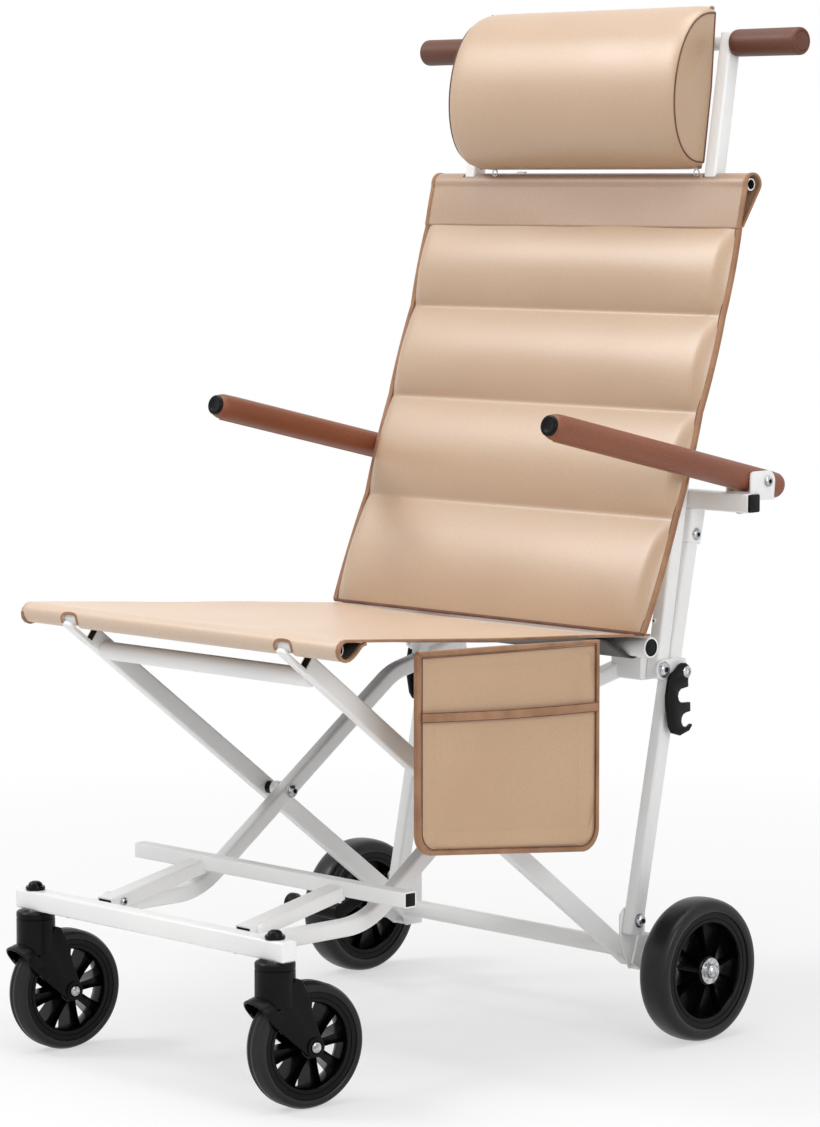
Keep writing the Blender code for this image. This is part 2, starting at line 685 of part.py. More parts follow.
def caster_fork(side, x, swivel):
    axle_y = BEAM_Y + CASTER_TRAIL
    fork_top = BEAM_Z - BEAM_SIDE / 2 - 0.0015
    cheek_half = 0.0180
    slot_half = CASTER_TYRE_HALF + 0.0012
    name = "caster_fork_" + side
    mesh = bpy.data.meshes.new(name)
    shape = bmesh.new()
    housing = 0.044
    bmesh.ops.create_cone(shape, cap_ends=True, segments=24, radius1=CASTER_HOUSING_R,
                          radius2=CASTER_HOUSING_R, depth=housing)
    shape.to_mesh(mesh)
    shape.free()
    fork = link(name, mesh, BLACK, (x, BEAM_Y, fork_top - housing / 2))
    add_bevel(fork, 0.0012)
    outline = [(BEAM_Y + 0.0170, 0.1320), (BEAM_Y + 0.0220, 0.1270), (BEAM_Y + 0.0262, 0.1190),
               (BEAM_Y + 0.0312, 0.1110)]
    outline += arc(axle_y, CASTER_WHEEL_R, 0.0105, 35, -125, 7)
    outline += [(BEAM_Y + 0.0053, 0.0721), (BEAM_Y - 0.0145, 0.0928), (BEAM_Y - 0.0210, 0.1015),
                (BEAM_Y - 0.0200, 0.1130), (BEAM_Y - 0.0150, 0.1250)]
    weld(fork, plate("cheeks_" + side, outline, 2 * cheek_half, x, None))
    fender = [(BEAM_Y - 0.010, 0.118), (BEAM_Y - 0.010, 0.106), (BEAM_Y - 0.028, 0.099),
              (BEAM_Y - 0.0325, 0.1035), (BEAM_Y - 0.0290, 0.1100)]
    weld(fork, plate("fender_" + side, fender, 0.025, x, None, bevel=0.003))
    slot = turned("wheel_slot_" + side, [(-slot_half, 0.0), (-slot_half, CASTER_WHEEL_R + 0.003),
                                         (slot_half, CASTER_WHEEL_R + 0.003), (slot_half, 0.0)],
                  None, (x, axle_y, CASTER_WHEEL_R), closed=False)
    cut(fork, slot)
    cut(fork, rod("fork_bore_" + side, 0.0043, x - 0.03, x + 0.03, axle_y, CASTER_WHEEL_R, None, 12))
    return fork


def caster(side, sign):
    x = sign * CASTER_X
    axle_y = BEAM_Y + CASTER_TRAIL
    swivel = make_body("caster_" + side, (x, BEAM_Y, BEAM_Z), front_body)
    spin = make_body("caster_wheel_" + side, (x, axle_y, CASTER_WHEEL_R), swivel)
    fork = caster_fork(side, x, swivel)
    carry_with_tools(fork, swivel)
    wheel("caster_wheel_" + side, x, axle_y, CASTER_WHEEL_R, CASTER_WHEEL_R, CASTER_RIM_R, CASTER_TYRE_HALF,
          0.0125, 0.0045, spin)
    for piece in list(spin.children):
        carry_with_tools(piece, spin)
    bolt("caster_axle_" + side, 0.004, x - 0.0183, x + 0.0183, axle_y, CASTER_WHEEL_R, 0.0065, 0.0035,
         0.0055, 0.0035, swivel)
    cap = [(0.0, 0.0), (0.0, 0.0095), (0.004, 0.0095), (0.0075, 0.0065), (0.009, 0.0)]
    beam_top = BEAM_Z + BEAM_SIDE / 2 + GAP
    dome = turned("caster_cap_" + side, cap, BLACK, (x, BEAM_Y, beam_top), closed=False, steps=18)
    dome.rotation_euler = (0, -pi / 2, 0)
    carry(dome, front_body)
    bpy.context.view_layer.update()
    swivel.rotation_euler = (0, 0, -CASTER_TURN[side])


for side, sign in SIDES:
    caster(side, sign)


# Rear frame: legs, uprights, handle tube with grips and the tube that holds the back

def leaning_tube(name, x, low_z, high_z, centre_y, angle, width, depth):
    """A rectangular tube that leans back, with its middle at centre_y(middle z)."""
    middle = (low_z + high_z) / 2
    length = (high_z - low_z) / cos(angle)
    return box(name, (width, depth, length), (x, centre_y(middle), middle), WHITE, (-angle, 0, 0), 0.002)


def rear_leg(side, sign):
    top_z = ARM_TUBE_Z - ARM_TUBE_HEIGHT / 2 - 0.0025
    leg = leaning_tube("rear_leg_" + side, sign * LEG_X, LEG_BOTTOM_Z, top_z, leg_y, LEG_ANGLE,
                       LEG_WIDTH, LEG_DEPTH)
    face = LEG_X + LEG_WIDTH / 2
    inside = sign * (face + 0.001)
    catch_y = leg_y(CATCH_Z)
    ear_low = CATCH_Z - 0.0125
    ear = arc(CATCH_Y, CATCH_Z, 0.0105, 100, 270, 7)
    ear += [(catch_y, ear_low), (catch_y + 0.013, ear_low), (catch_y + 0.013, CATCH_Z + 0.009),
            (catch_y + 0.008, CATCH_Z + 0.0103)]
    weld(leg, plate("catch_ear_" + side, ear, EAR_THICK, sign * (face + GAP + EAR_THICK / 2), None))
    pad_place = (sign * (face + 0.0002), catch_y + 0.0005, CATCH_Z - 0.002)
    weld(leg, box("ear_pad_" + side, (0.0024, 0.014, 0.016), pad_place, None))
    weld(leg, rod("rivet_boss_" + side, 0.0065, inside, sign * (CATCH_X - GAP), RIVET_Y, RIVET_Z, None, 16))
    pin_end = sign * (CATCH_X + CATCH_THICK + 0.001)
    weld(leg, rod("rivet_pin_" + side, 0.0030, inside, pin_end, RIVET_Y, RIVET_Z, None, 12))
    cut(leg, rod("foot_bore_leg_" + side, 0.0043, -0.3, 0.3, LEG_FOOT_Y, LEG_FOOT_Z, None, 16))
    cut(leg, rod("ear_bore_" + side, 0.0053, sign * (face - 0.001), sign * 0.2, CATCH_Y, CATCH_Z, None, 16))
    carry(leg, rear_body)


def upright(side, sign):
    tube = leaning_tube("upright_" + side, sign * LEG_X, UPRIGHT_BOTTOM_Z, UPRIGHT_TOP_Z, upright_y,
                        LEAN_ANGLE, UPRIGHT_WIDTH, UPRIGHT_DEPTH)
    for name, y, z, radius in (("catch_bore_", CATCH_Y, CATCH_Z, 0.0053),
                               ("top_bore_", upright_y(TOP_TUBE_Z), TOP_TUBE_Z, TOP_TUBE_R + GAP),
                               ("handle_bore_", upright_y(HANDLE_Z), HANDLE_Z, HANDLE_R + GAP)):
        cut(tube, rod(name + side, radius, -0.3, 0.3, y, z, None, 16))
    carry(tube, rear_body)


def catch_bolt(side, sign):
    """The bolt that holds the upright's foot to the leg's ear, ending short of the scissor's block."""
    inside = LEG_X - LEG_WIDTH / 2 + 0.001
    outside = LEG_X + LEG_WIDTH / 2 + EAR_THICK + 2 * GAP
    profile = [(inside, 0.0), (inside, 0.005), (outside, 0.005), (outside, 0.0074),
               (outside + 0.0014, 0.0072), (outside + 0.0026, 0.0045), (outside + 0.0026, 0.0)]
    points = [(sign * x, r) for x, r in profile]
    pin = turned("catch_bolt_" + side, points, STEEL, (0, CATCH_Y, CATCH_Z), closed=False, steps=16)
    carry(pin, rear_body)


for side, sign in SIDES:
    rear_leg(side, sign)
    upright(side, sign)
    catch_bolt(side, sign)
handle = rod("handle_tube", HANDLE_R, -HANDLE_HALF, HANDLE_HALF, upright_y(HANDLE_Z), HANDLE_Z, WHITE, 16)
carry(handle, rear_body)
top_tube = rod("back_top_tube", TOP_TUBE_R, -TOP_TUBE_HALF, TOP_TUBE_HALF, upright_y(TOP_TUBE_Z), TOP_TUBE_Z,
               WHITE, 16)
carry(top_tube, rear_body)


def push_grip(side, sign):
    start = LEG_X + UPRIGHT_WIDTH / 2 + GAP
    deep = HANDLE_HALF + GAP
    bore = HANDLE_R + GAP
    profile = [(deep, 0.0), (deep, bore), (start, bore), (start, GRIP_R - 0.003), (start + 0.003, GRIP_R),
               (GRIP_END_X - 0.002, GRIP_R), (GRIP_END_X, GRIP_R - 0.002), (GRIP_END_X, 0.0)]
    points = [(sign * x, r) for x, r in profile]
    place = (0, upright_y(HANDLE_Z), HANDLE_Z)
    carry(turned("push_grip_" + side, points, BROWN, place, closed=False, steps=24), rear_body)


for side, sign in SIDES:
    push_grip(side, sign)


# Armrest supports: a side tube over each leg's top, a sleeve round the leg and a clevis for the armrest

def arm_support(side, sign):
    length = ARM_TUBE_END_X - ARM_TUBE_START_X
    middle = (ARM_TUBE_END_X + ARM_TUBE_START_X) / 2
    support = box("arm_support_" + side, (length, ARM_TUBE_DEPTH, ARM_TUBE_HEIGHT),
                  (sign * middle, ARM_TUBE_Y, ARM_TUBE_Z), WHITE, bevel=0.0015)
    sleeve = leaning_tube("arm_sleeve_" + side, sign * LEG_X, 0.514, 0.5525, leg_y, LEG_ANGLE,
                          LEG_WIDTH + 0.0042, LEG_DEPTH + 0.0046)
    weld(support, sleeve)
    room_top = ARM_TUBE_Z - ARM_TUBE_HEIGHT / 2 - 0.002
    cut(support, leaning_tube("sleeve_room_" + side, sign * LEG_X, 0.45, room_top, leg_y, LEG_ANGLE,
                              LEG_WIDTH + 2 * GAP, LEG_DEPTH + 2 * GAP))
    low = ARM_TUBE_Z + ARM_TUBE_HEIGHT / 2 - 0.0008
    tube_back = ARM_TUBE_Y + ARM_TUBE_DEPTH / 2 - 0.0012
    front = ARM_TUBE_Y - 0.0035
    cheek = [(front, low), (tube_back, low), (tube_back, low - 0.0060), (ARM_PIVOT_Y + 0.0095, low - 0.0070)]
    cheek += arc(ARM_PIVOT_Y, ARM_PIVOT_Z, 0.0115, 0, 80, 5)
    cheek += arc(front + 0.005, ARM_PIVOT_Z + 0.0063, 0.005, 90, 180, 4)
    for place, offset in (("inner", -1), ("outer", 1)):
        weld(support, plate("clevis_" + place + "_" + side, cheek, 0.0025,
                            sign * ARM_X + offset * (ARM_R + 0.0022), None))
    weld(support, box("clevis_base_" + side, (2 * ARM_R + 0.0050, 0.0060, 0.0024),
                      (sign * ARM_X, front + 0.0033, low + 0.0012), None))
    cut(support, rod("clevis_bore_" + side, 0.0033, sign * 0.22, sign * 0.28, ARM_PIVOT_Y, ARM_PIVOT_Z,
                     None, 12))
    carry(support, rear_body)


def armrest(side, sign):
    body = make_body("armrest_" + side, (sign * ARM_X, ARM_PIVOT_Y, ARM_PIVOT_Z), rear_body)
    length = ARM_FRONT + ARM_REAR
    name = "armrest_" + side + "_grip"
    mesh = bpy.data.meshes.new(name)
    shape = bmesh.new()
    bmesh.ops.create_cone(shape, cap_ends=True, segments=24, radius1=ARM_R, radius2=ARM_R, depth=length)
    bmesh.ops.rotate(shape, cent=(0, 0, 0), matrix=Matrix.Rotation(pi / 2, 3, "X"), verts=shape.verts)
    shape.to_mesh(mesh)
    shape.free()
    shift = (ARM_REAR - ARM_FRONT) / 2
    grip = link(name, mesh, BROWN, (sign * ARM_X, ARM_PIVOT_Y + shift * cos(ARM_TILT),
                                    ARM_PIVOT_Z - shift * sin(ARM_TILT)), (-ARM_TILT, 0, 0))
    add_bevel(grip, 0.0045, 2)
    cut(grip, rod("armrest_bore_" + side, 0.0033, sign * 0.22, sign * 0.28, ARM_PIVOT_Y, ARM_PIVOT_Z,
                  None, 12))
    carry(grip, body)
    reach = ARM_FRONT + GAP
    place = (sign * ARM_X, ARM_PIVOT_Y - reach * cos(ARM_TILT), ARM_PIVOT_Z + reach * sin(ARM_TILT))
    profile = [(0.0, 0.0), (0.0, 0.0105), (0.002, 0.0105), (0.004, 0.009), (0.004, 0.0)]
    cap = turned("armrest_cap_" + side, profile, BLACK, place, closed=False, steps=20)
    cap.rotation_euler = (Matrix.Rotation(-ARM_TILT, 3, "X") @ Matrix.Rotation(-pi / 2, 3, "Z")).to_euler()
    carry(cap, body)
    reach_x = ARM_R + 0.0022 + 0.00125 + GAP
    bolt("armrest_bolt_" + side, 0.003, sign * (ARM_X - reach_x), sign * (ARM_X + reach_x), ARM_PIVOT_Y,
         ARM_PIVOT_Z, 0.006, 0.003, 0.005, 0.003, rear_body)


for side, sign in SIDES:
    arm_support(side, sign)
    armrest(side, sign)


# Catches: a plate with two notches, hanging from a rivet on each leg

def catch_plate(side, sign):
    y, z = RIVET_Y, RIVET_Z
    body = make_body("catch_" + side, (0, y, z), rear_body)
    outline = arc(y - 0.0048, z - 0.0012, 0.0112, 15, 150, 6)
    outline += [(y - 0.0241, z - 0.0010), (y - 0.0277, z - 0.0070), (y - 0.0312, z - 0.0237),
                (y - 0.0308, z - 0.0339), (y - 0.0262, z - 0.0571), (y - 0.0215, z - 0.0640),
                (y - 0.0097, z - 0.0675), (y + 0.0047, z - 0.0635), (y + 0.0098, z - 0.0578),
                (y + 0.0078, z - 0.0562)]
    outline += arc(y, z - 0.0515, 0.0078, 290, 95, 7)
    outline += [(y + 0.0065, z - 0.0429), (y + 0.0062, z - 0.0330)]
    outline += arc(y - 0.0055, z - 0.0250, 0.0078, 285, 80, 7)
    outline += [(y + 0.0029, z - 0.0163), (y + 0.0026, z - 0.0085)]
    x = sign * (CATCH_X + CATCH_THICK / 2)
    hole = arc(y, z, 0.0033, 0, 330, 12)
    carry(plate("catch_plate_" + side, outline, CATCH_THICK, x, BLACK, holes=[hole]), body)


for side, sign in SIDES:
    catch_plate(side, sign)


# Parking brake: a rubber bar ahead of the right rear tyre, on a short lever

def parking_brake():
    lever_x = -(LEG_X + LEG_WIDTH / 2 + OUTER_CHEEK + 3 * GAP + BRAKE_THICK / 2)
    body = make_body("parking_brake_pivot", (lever_x, BRAKE_Y, BRAKE_Z), seat_body)
    outline = arc(BRAKE_Y, BRAKE_Z, 0.0080, -90, 90, 7) + arc(BAR_Y, BAR_Z, 0.0080, 90, 270, 7)
    hole = arc(BRAKE_Y, BRAKE_Z, 0.0033, 0, 330, 12)
    brake = plate("parking_brake", outline, BRAKE_THICK, lever_x, BLACK, holes=[hole])
    inner = lever_x + BRAKE_THICK / 2
    profile = [(inner, 0.0), (inner, 0.0095), (-0.262, 0.0095), (-0.265, 0.0115), (-0.272, 0.0115),
               (-0.272, 0.0)]
    weld(brake, turned("brake_bar", profile, None, (0, BAR_Y, BAR_Z), closed=False, steps=18))
    carry(brake, body)


parking_brake()


# Fabric

def sheet_solid(name, columns, rows, front, back, material):
    """A closed sheet: front(u, v) and back(u, v) give a point for u and v from 0 to 1."""
    mesh = bpy.data.meshes.new(name)
    shape = bmesh.new()
    bmesh.ops.create_grid(shape, x_segments=columns, y_segments=rows, size=0.5)
    grid = {vert: (vert.co.x + 0.5, vert.co.y + 0.5) for vert in shape.verts}
    made = bmesh.ops.extrude_face_region(shape, geom=shape.faces[:])
    copies = [item for item in made["geom"] if isinstance(item, bmesh.types.BMVert)]
    for vert in copies:
        vert.co = back(vert.co.x + 0.5, vert.co.y + 0.5)
    for vert, (u, v) in grid.items():
        vert.co = front(u, v)
    bmesh.ops.recalc_face_normals(shape, faces=shape.faces)
    shape.to_mesh(mesh)
    shape.free()
    return link(name, mesh, material)


def ramp(value, low, high):
    return min(max((value - low) / (high - low), 0.0), 1.0)


def seam_line(z):
    """Front surface of the back at its seams, at height z."""
    for (z_high, y_high), (z_low, y_low) in zip(BACK_SEAMS, BACK_SEAMS[1:]):
        if z >= z_low:
            return y_low + (y_high - y_low) * (z - z_low) / (z_high - z_low)
    return BACK_SEAMS[-1][1]


def back_sling():
    rows_each = 6
    channels = len(BACK_SEAMS) - 1
    rows = channels * rows_each

    def place(u, v):
        step = min(int(v * channels + 1e-6), channels - 1)
        part = v * channels - step
        z_low, z_high = BACK_SEAMS[channels - step][0], BACK_SEAMS[channels - step - 1][0]
        return (2 * u - 1) * SLING_HALF, z_low + (z_high - z_low) * part, part

    def front(u, v):
        x, z, part = place(u, v)
        edge = ramp(SLING_HALF - abs(x), 0.006, 0.045)
        puff = CHANNEL_PUFF * sqrt(max(sin(pi * part), 0.0)) * sin(pi / 2 * edge) ** 0.7
        return (x, seam_line(z) - puff, z)

    def back(u, v):
        x, z, part = place(u, v)
        return (x, seam_line(z) + SHEET, z)

    sling = sheet_solid("back_sling", 14, rows, front, back, BEIGE)
    top_y, top_z = upright_y(TOP_TUBE_Z), TOP_TUBE_Z
    seam_z, seam_y = BACK_SEAMS[0]
    outer_r = 0.0108
    loop = arc(top_y, top_z, outer_r, 192, 0, 10)
    loop += [(top_y + outer_r - 0.0012, top_z - 0.012), (seam_y + SHEET + 0.004, seam_z + 0.004),
             (seam_y + SHEET, seam_z - 0.002), (seam_y, seam_z - 0.002)]
    inner_r = 0.0082
    hole = arc(top_y, top_z, inner_r, 200, -20, 10) + [(seam_y + SHEET + 0.004, seam_z + 0.016)]
    band = plate("back_top_band", loop, 2 * SLING_HALF, 0.0, None, holes=[hole])
    weld(sling, band)
    for side, sign in SIDES:
        slot = box("upright_slot_" + side, (UPRIGHT_WIDTH + 0.003, UPRIGHT_DEPTH + 0.002, 0.120),
                   (sign * LEG_X, upright_y(0.900), 0.900), None, (-LEAN_ANGLE, 0, 0))
        cut(sling, slot)
    carry(sling, rear_body)


back_sling()


def seat_sling():
    front_y, front_z = RAIL_Y, RAIL_Z + RAIL_R + 0.0017
    rear_y, rear_z = SEAT_BACK_Y - 0.004, SEAT_BACK_Z + SEAT_BACK_R + 0.0025

    def top(u, v):
        across = 2 * u - 1
        y = front_y + (rear_y - front_y) * v
        half = SEAT_HALF + (SEAT_REAR_HALF - SEAT_HALF) * v ** 3
        sag = 0.012 * (1 - across ** 4) * sin(pi * v) ** 0.8
        return (across * half, y, front_z + (rear_z - front_z) * v - sag)

    def under(u, v):
        x, y, z = top(u, v)
        return (x, y, z - SHEET)

    sling = sheet_solid("seat_sling", 12, 16, top, under, BEIGE)
    for name, y, z, inner, outer, half in (
            ("front_sleeve", RAIL_Y, RAIL_Z, RAIL_R + GAP, RAIL_R + 0.0018, SEAT_HALF),
            ("rear_sleeve", SEAT_BACK_Y, SEAT_BACK_Z, SEAT_BACK_R + GAP, SEAT_BACK_R + 0.0026,
             SEAT_REAR_SLEEVE)):
        weld(sling, rod(name, outer, -half, half, y, z, None, 20))
        cut(sling, rod(name + "_room", inner, -0.3, 0.3, y, z, None, 20))
    for side, sign in SIDES:
        cut(sling, box("rail_window_" + side, (0.018, 0.030, 0.018),
                       (sign * SEAT_TUBE_X, RAIL_Y - 0.0110, RAIL_Z - 0.0080), None))
        cut(sling, box("saddle_window_" + side, (0.020, 0.040, 0.024),
                       (sign * SCISSOR_X, SEAT_BACK_Y, SEAT_BACK_Z - 0.009), None))
    carry(sling, seat_body)


seat_sling()


def cage(name, sections, material):
    """A closed solid through rings of points, capped at both ends."""
    mesh = bpy.data.meshes.new(name)
    shape = bmesh.new()
    rings = [[shape.verts.new(point) for point in ring] for ring in sections]
    for low, high in zip(rings, rings[1:]):
        for i in range(len(low)):
            j = (i + 1) % len(low)
            shape.faces.new((low[i], low[j], high[j], high[i]))
    shape.faces.new(rings[0])
    shape.faces.new(rings[-1])
    bmesh.ops.recalc_face_normals(shape, faces=shape.faces)
    shape.to_mesh(mesh)
    shape.free()
    return link(name, mesh, material)


def headrest():
    """A half round roll between the uprights, with its flat back to the handle tube and domed ends."""
    middle = (HEADREST_LOW_Z + HEADREST_HIGH_Z) / 2
    half = (HEADREST_HIGH_Z - HEADREST_LOW_Z) / 2
    steps = 14
    outline = []
    for i in range(steps + 1):
        turn = pi * (i / steps - 0.5)
        outline.append((-HEADREST_DEPTH * max(cos(turn), 0.0) ** 0.80, half * sin(turn)))
    outline += [(0.002, half * 0.80), (0.003, 0.0), (0.002, -half * 0.80)]
    sections = []
    ends = ((-1.0, 0.86), (-0.985, 0.955), (-0.955, 1.0), (0.0, 1.0),
            (0.955, 1.0), (0.985, 0.955), (1.0, 0.86))
    centre = -HEADREST_DEPTH * 0.45
    for x, scale in ends:
        ring = []
        for y, z in outline:
            height = middle + z * scale
            depth = HEADREST_BACK_Y + HEADREST_LEAN * (height - middle) + centre + (y - centre) * scale
            ring.append((x * HEADREST_HALF, depth, height))
        sections.append(ring)
    carry(cage("headrest", sections, BEIGE), rear_body)


headrest()


def side_pocket():
    """A flat pouch with rounded lower corners that hangs from the seat's left edge."""
    corner = 0.020
    outline = [(POCKET_FRONT_Y, POCKET_HIGH_Z + 0.004), (POCKET_FRONT_Y, POCKET_LOW_Z + 0.012 + corner)]
    outline += arc(POCKET_FRONT_Y + corner, POCKET_LOW_Z + 0.012 + corner, corner, 195, 270, 5)
    outline += arc(POCKET_REAR_Y - corner, POCKET_LOW_Z - 0.010 + corner, corner, 270, 345, 5)
    outline += [(POCKET_REAR_Y, POCKET_LOW_Z - 0.010 + corner), (POCKET_REAR_Y, POCKET_HIGH_Z - 0.004)]
    pouch = plate("side_pocket", outline, POCKET_THICK, POCKET_X, BEIGE, bevel=0.0035)
    pouch.modifiers["edge_bevel"].segments = 2
    carry(pouch, seat_body)


side_pocket()


# The origin is on the ground at the middle of the chair's outline

for piece in list(part_collection.objects) + list(tool_collection.objects):
    if piece.parent is None:
        piece.location.y += CENTRE_SHIFT
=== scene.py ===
# %% [markdown]
# # A folding travel wheelchair, dressed for its photograph
#
# The frame of this chair was drawn first as plain solids with real joints, and that imported model is
# loaded here as it is. This lesson gives it its looks: white powder coated tubes, moulded wheels,
# leatherette seat and back, and the studio that it stands in. Most new pieces are parented to an empty
# named for one of the model's bodies.
#
# The chair faces along -Y, and the occupant's left side, with the pocket, is +X.

# %% Load the imported frame
from math import atan, cos, pi, radians, sin, sqrt, tan

import bmesh
import bpy
from mathutils import Matrix, Vector, noise


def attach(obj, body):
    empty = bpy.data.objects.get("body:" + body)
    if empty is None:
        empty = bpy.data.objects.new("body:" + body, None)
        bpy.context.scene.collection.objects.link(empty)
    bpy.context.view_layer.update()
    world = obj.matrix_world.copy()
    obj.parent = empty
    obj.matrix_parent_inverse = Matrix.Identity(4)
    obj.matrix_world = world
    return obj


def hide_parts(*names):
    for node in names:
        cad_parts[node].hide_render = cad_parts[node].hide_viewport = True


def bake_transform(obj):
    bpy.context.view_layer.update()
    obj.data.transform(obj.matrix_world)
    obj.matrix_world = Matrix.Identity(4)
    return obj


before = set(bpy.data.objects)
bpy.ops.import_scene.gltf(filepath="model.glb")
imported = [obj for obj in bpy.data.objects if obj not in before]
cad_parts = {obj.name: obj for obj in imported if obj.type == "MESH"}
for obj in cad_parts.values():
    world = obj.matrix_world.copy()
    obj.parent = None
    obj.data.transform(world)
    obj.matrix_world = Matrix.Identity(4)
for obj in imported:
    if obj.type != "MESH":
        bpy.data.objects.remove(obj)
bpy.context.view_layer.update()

# %% [markdown]
# ## Measures shared by many pieces
#
# The solids were drawn in a side view whose origin lies 8.2 mm from the middle of the finished chair,
# and were moved back once at the end. The same is done here: each piece is drawn with the numbers of
# that side view, and one helper moves it by the same step when it is finished. That keeps one set of
# numbers for both files.

# %% Sides, shift and the lines of the frame
CHAIR_SHIFT = 0.0082
SIDES = (("left", 1.0), ("right", -1.0))
PIVOT = Vector((-0.029, 0.247))
SEAT_SLOPE = 0.76
SEAT_TUBE_X = 0.162
SCISSOR_X = 0.128
SCISSOR_SLOPE = 0.72
SCISSOR_LOW_Z = 0.154
BEAM = (-0.330, 0.160)
FOOT_HINGE = (-0.286, 0.1635)
FOOT_BAR = (-0.169, 0.190)
LEG_FOOT = (0.1875, 0.119)
LEG_X = 0.1786
CATCH = (0.2195, 0.3835)
UPRIGHT_FOOT_Y = 0.2217
UPRIGHT_LEAN = 0.1663
ARM_TUBE = (0.2717, 0.561)
ARM_PIVOT = (0.295, 0.583)
X_AXIS = Vector((1, 0, 0))
Y_AXIS = Vector((0, 1, 0))
Z_AXIS = Vector((0, 0, 1))


def seat_tube_z(y):
    """Height of the seat tubes' middle line at y."""
    return PIVOT.y - SEAT_SLOPE * (y - PIVOT.x)


def upright_y(z):
    """Depth of the uprights' middle line at height z."""
    return UPRIGHT_FOOT_Y + UPRIGHT_LEAN * (z - CATCH[1])


HANDLE_Z = 1.042
HANDLE = (upright_y(HANDLE_Z), HANDLE_Z)
TOP_TUBE_Z = 0.893
TOP_TUBE = (upright_y(TOP_TUBE_Z), TOP_TUBE_Z)
print("handle depth at its height:", round(HANDLE[0], 4))

# %% [markdown]
# ## From a hex colour to the shader
#
# Colours are picked from the photograph as sRGB hex codes, as in any picture editor. The shader wants
# linear light, so one function turns each code. A second small helper adds a shader node with its
# settings, values and links in one line, which keeps each material short enough to read. Patterns take
# their size from a real size in millimetres: a texture scale of 1000 / size repeats once per that size,
# because Object coordinates are in metres. Tone, gloss and skin are the same three questions for every
# surface, so each has its helper.

# %% Colour and node helpers


def linear(code):
    """Linear colour of an sRGB hex code."""
    parts = [int(code[i:i + 2], 16) / 255 for i in (1, 3, 5)]
    return (*[part / 12.92 if part <= 0.04045 else ((part + 0.055) / 1.055) ** 2.4 for part in parts], 1.0)


def add_node(tree, kind, attributes=None, values=None, links=None):
    """Add a shader node, set its attributes and socket values, and link its inputs."""
    node = tree.nodes.new(kind)
    for key, value in (attributes or {}).items():
        setattr(node, key, value)
    for key, value in (values or {}).items():
        node.inputs[key].default_value = value
    for key, source in (links or {}).items():
        tree.links.new(source, node.inputs[key])
    return node


def per_mm(size):
    """Texture scale that repeats once per size in millimetres."""
    return 1000.0 / size


def start_material(name, roughness, metallic=0.0):
    """A new material with its shader, its tree and the object's own coordinates."""
    material = bpy.data.materials.new(name)
    material.use_nodes = True
    tree = material.node_tree
    shader = tree.nodes["Principled BSDF"]
    shader.inputs["Roughness"].default_value = roughness
    shader.inputs["Metallic"].default_value = metallic
    place = add_node(tree, "ShaderNodeTexCoord").outputs["Object"]
    return material, tree, shader, place


def speckled(tree, place, size, dark, light, detail=3.0, low=0.35, high=0.65):
    """A colour that drifts between two tones over patches of a size in millimetres."""
    patches = add_node(tree, "ShaderNodeTexNoise", {}, {"Scale": per_mm(size), "Detail": detail},
                       {"Vector": place})
    spread = add_node(tree, "ShaderNodeMapRange", {}, {1: low, 2: high}, {0: patches.outputs["Fac"]})
    return add_node(tree, "ShaderNodeMix", {"data_type": "RGBA"}, {6: linear(dark), 7: linear(light)},
                    {0: spread.outputs[0]}).outputs[2]


def varied_gloss(tree, place, size, low, high):
    """A roughness that drifts between two values over patches of a size in millimetres."""
    patches = add_node(tree, "ShaderNodeTexNoise", {}, {"Scale": per_mm(size), "Detail": 5.0},
                       {"Vector": place})
    return add_node(tree, "ShaderNodeMapRange", {}, {1: 0.3, 2: 0.7, 3: low, 4: high},
                    {0: patches.outputs["Fac"]}).outputs[0]


def fine_skin(tree, place, size, detail, strength, distance):
    """A bump of soft noise of a size in millimetres."""
    skin = add_node(tree, "ShaderNodeTexNoise", {}, {"Scale": per_mm(size), "Detail": detail},
                    {"Vector": place})
    return add_node(tree, "ShaderNodeBump", {}, {"Strength": strength, "Distance": distance},
                    {"Height": skin.outputs["Fac"]})


def dress(tree, shader, tone, bump, gloss=None):
    """Link a tone, a bump and, where it is given, an uneven gloss to the shader."""
    tree.links.new(tone, shader.inputs["Base Color"])
    tree.links.new(bump.outputs[0], shader.inputs["Normal"])
    if gloss is not None:
        tree.links.new(gloss, shader.inputs["Roughness"])


print("beige as linear light:", [round(part, 3) for part in linear("#CDB49B")])

# %% [markdown]
# ## White powder coated steel
#
# The tubes are steel, sprayed with dry polyester powder and baked. The coat is about 80 microns thick
# and flows into a skin with a faint orange peel, so a long highlight looks slightly uneven. The peel is
# drawn with soft noise of 2.2 mm in the bump. Real peel is finer, and is drawn this coarse so that it
# shows. The tone drifts a little towards grey, as white frames do where hands and shoes rub them.

# %% Powder coat


def powder_coat(name):
    """Satin white polyester powder coat on steel."""
    material, tree, shader, place = start_material(name, 0.36)
    tone = speckled(tree, place, 140.0, "#F3F3F3", "#FBFBFA")
    gloss = varied_gloss(tree, place, 35.0, 0.30, 0.42)
    peel = fine_skin(tree, place, 2.2, 1.0, 0.10, 0.0003)
    dress(tree, shader, tone, peel, gloss)
    return material


COAT = powder_coat("powder_coated_steel_white")
print("made", COAT.name)

# %% [markdown]
# ## Zinc plated bolts
#
# Bolts, washers and axle nuts are turned steel with bright zinc plating. The eye reads them by their
# sharp, mirror-like highlights. Metallic is 1 and the IOR stays at its default. Rings from the lathe
# would need the bolt's own axis, so fine noise over the surface stands for the turning marks.

# %% Zinc plate


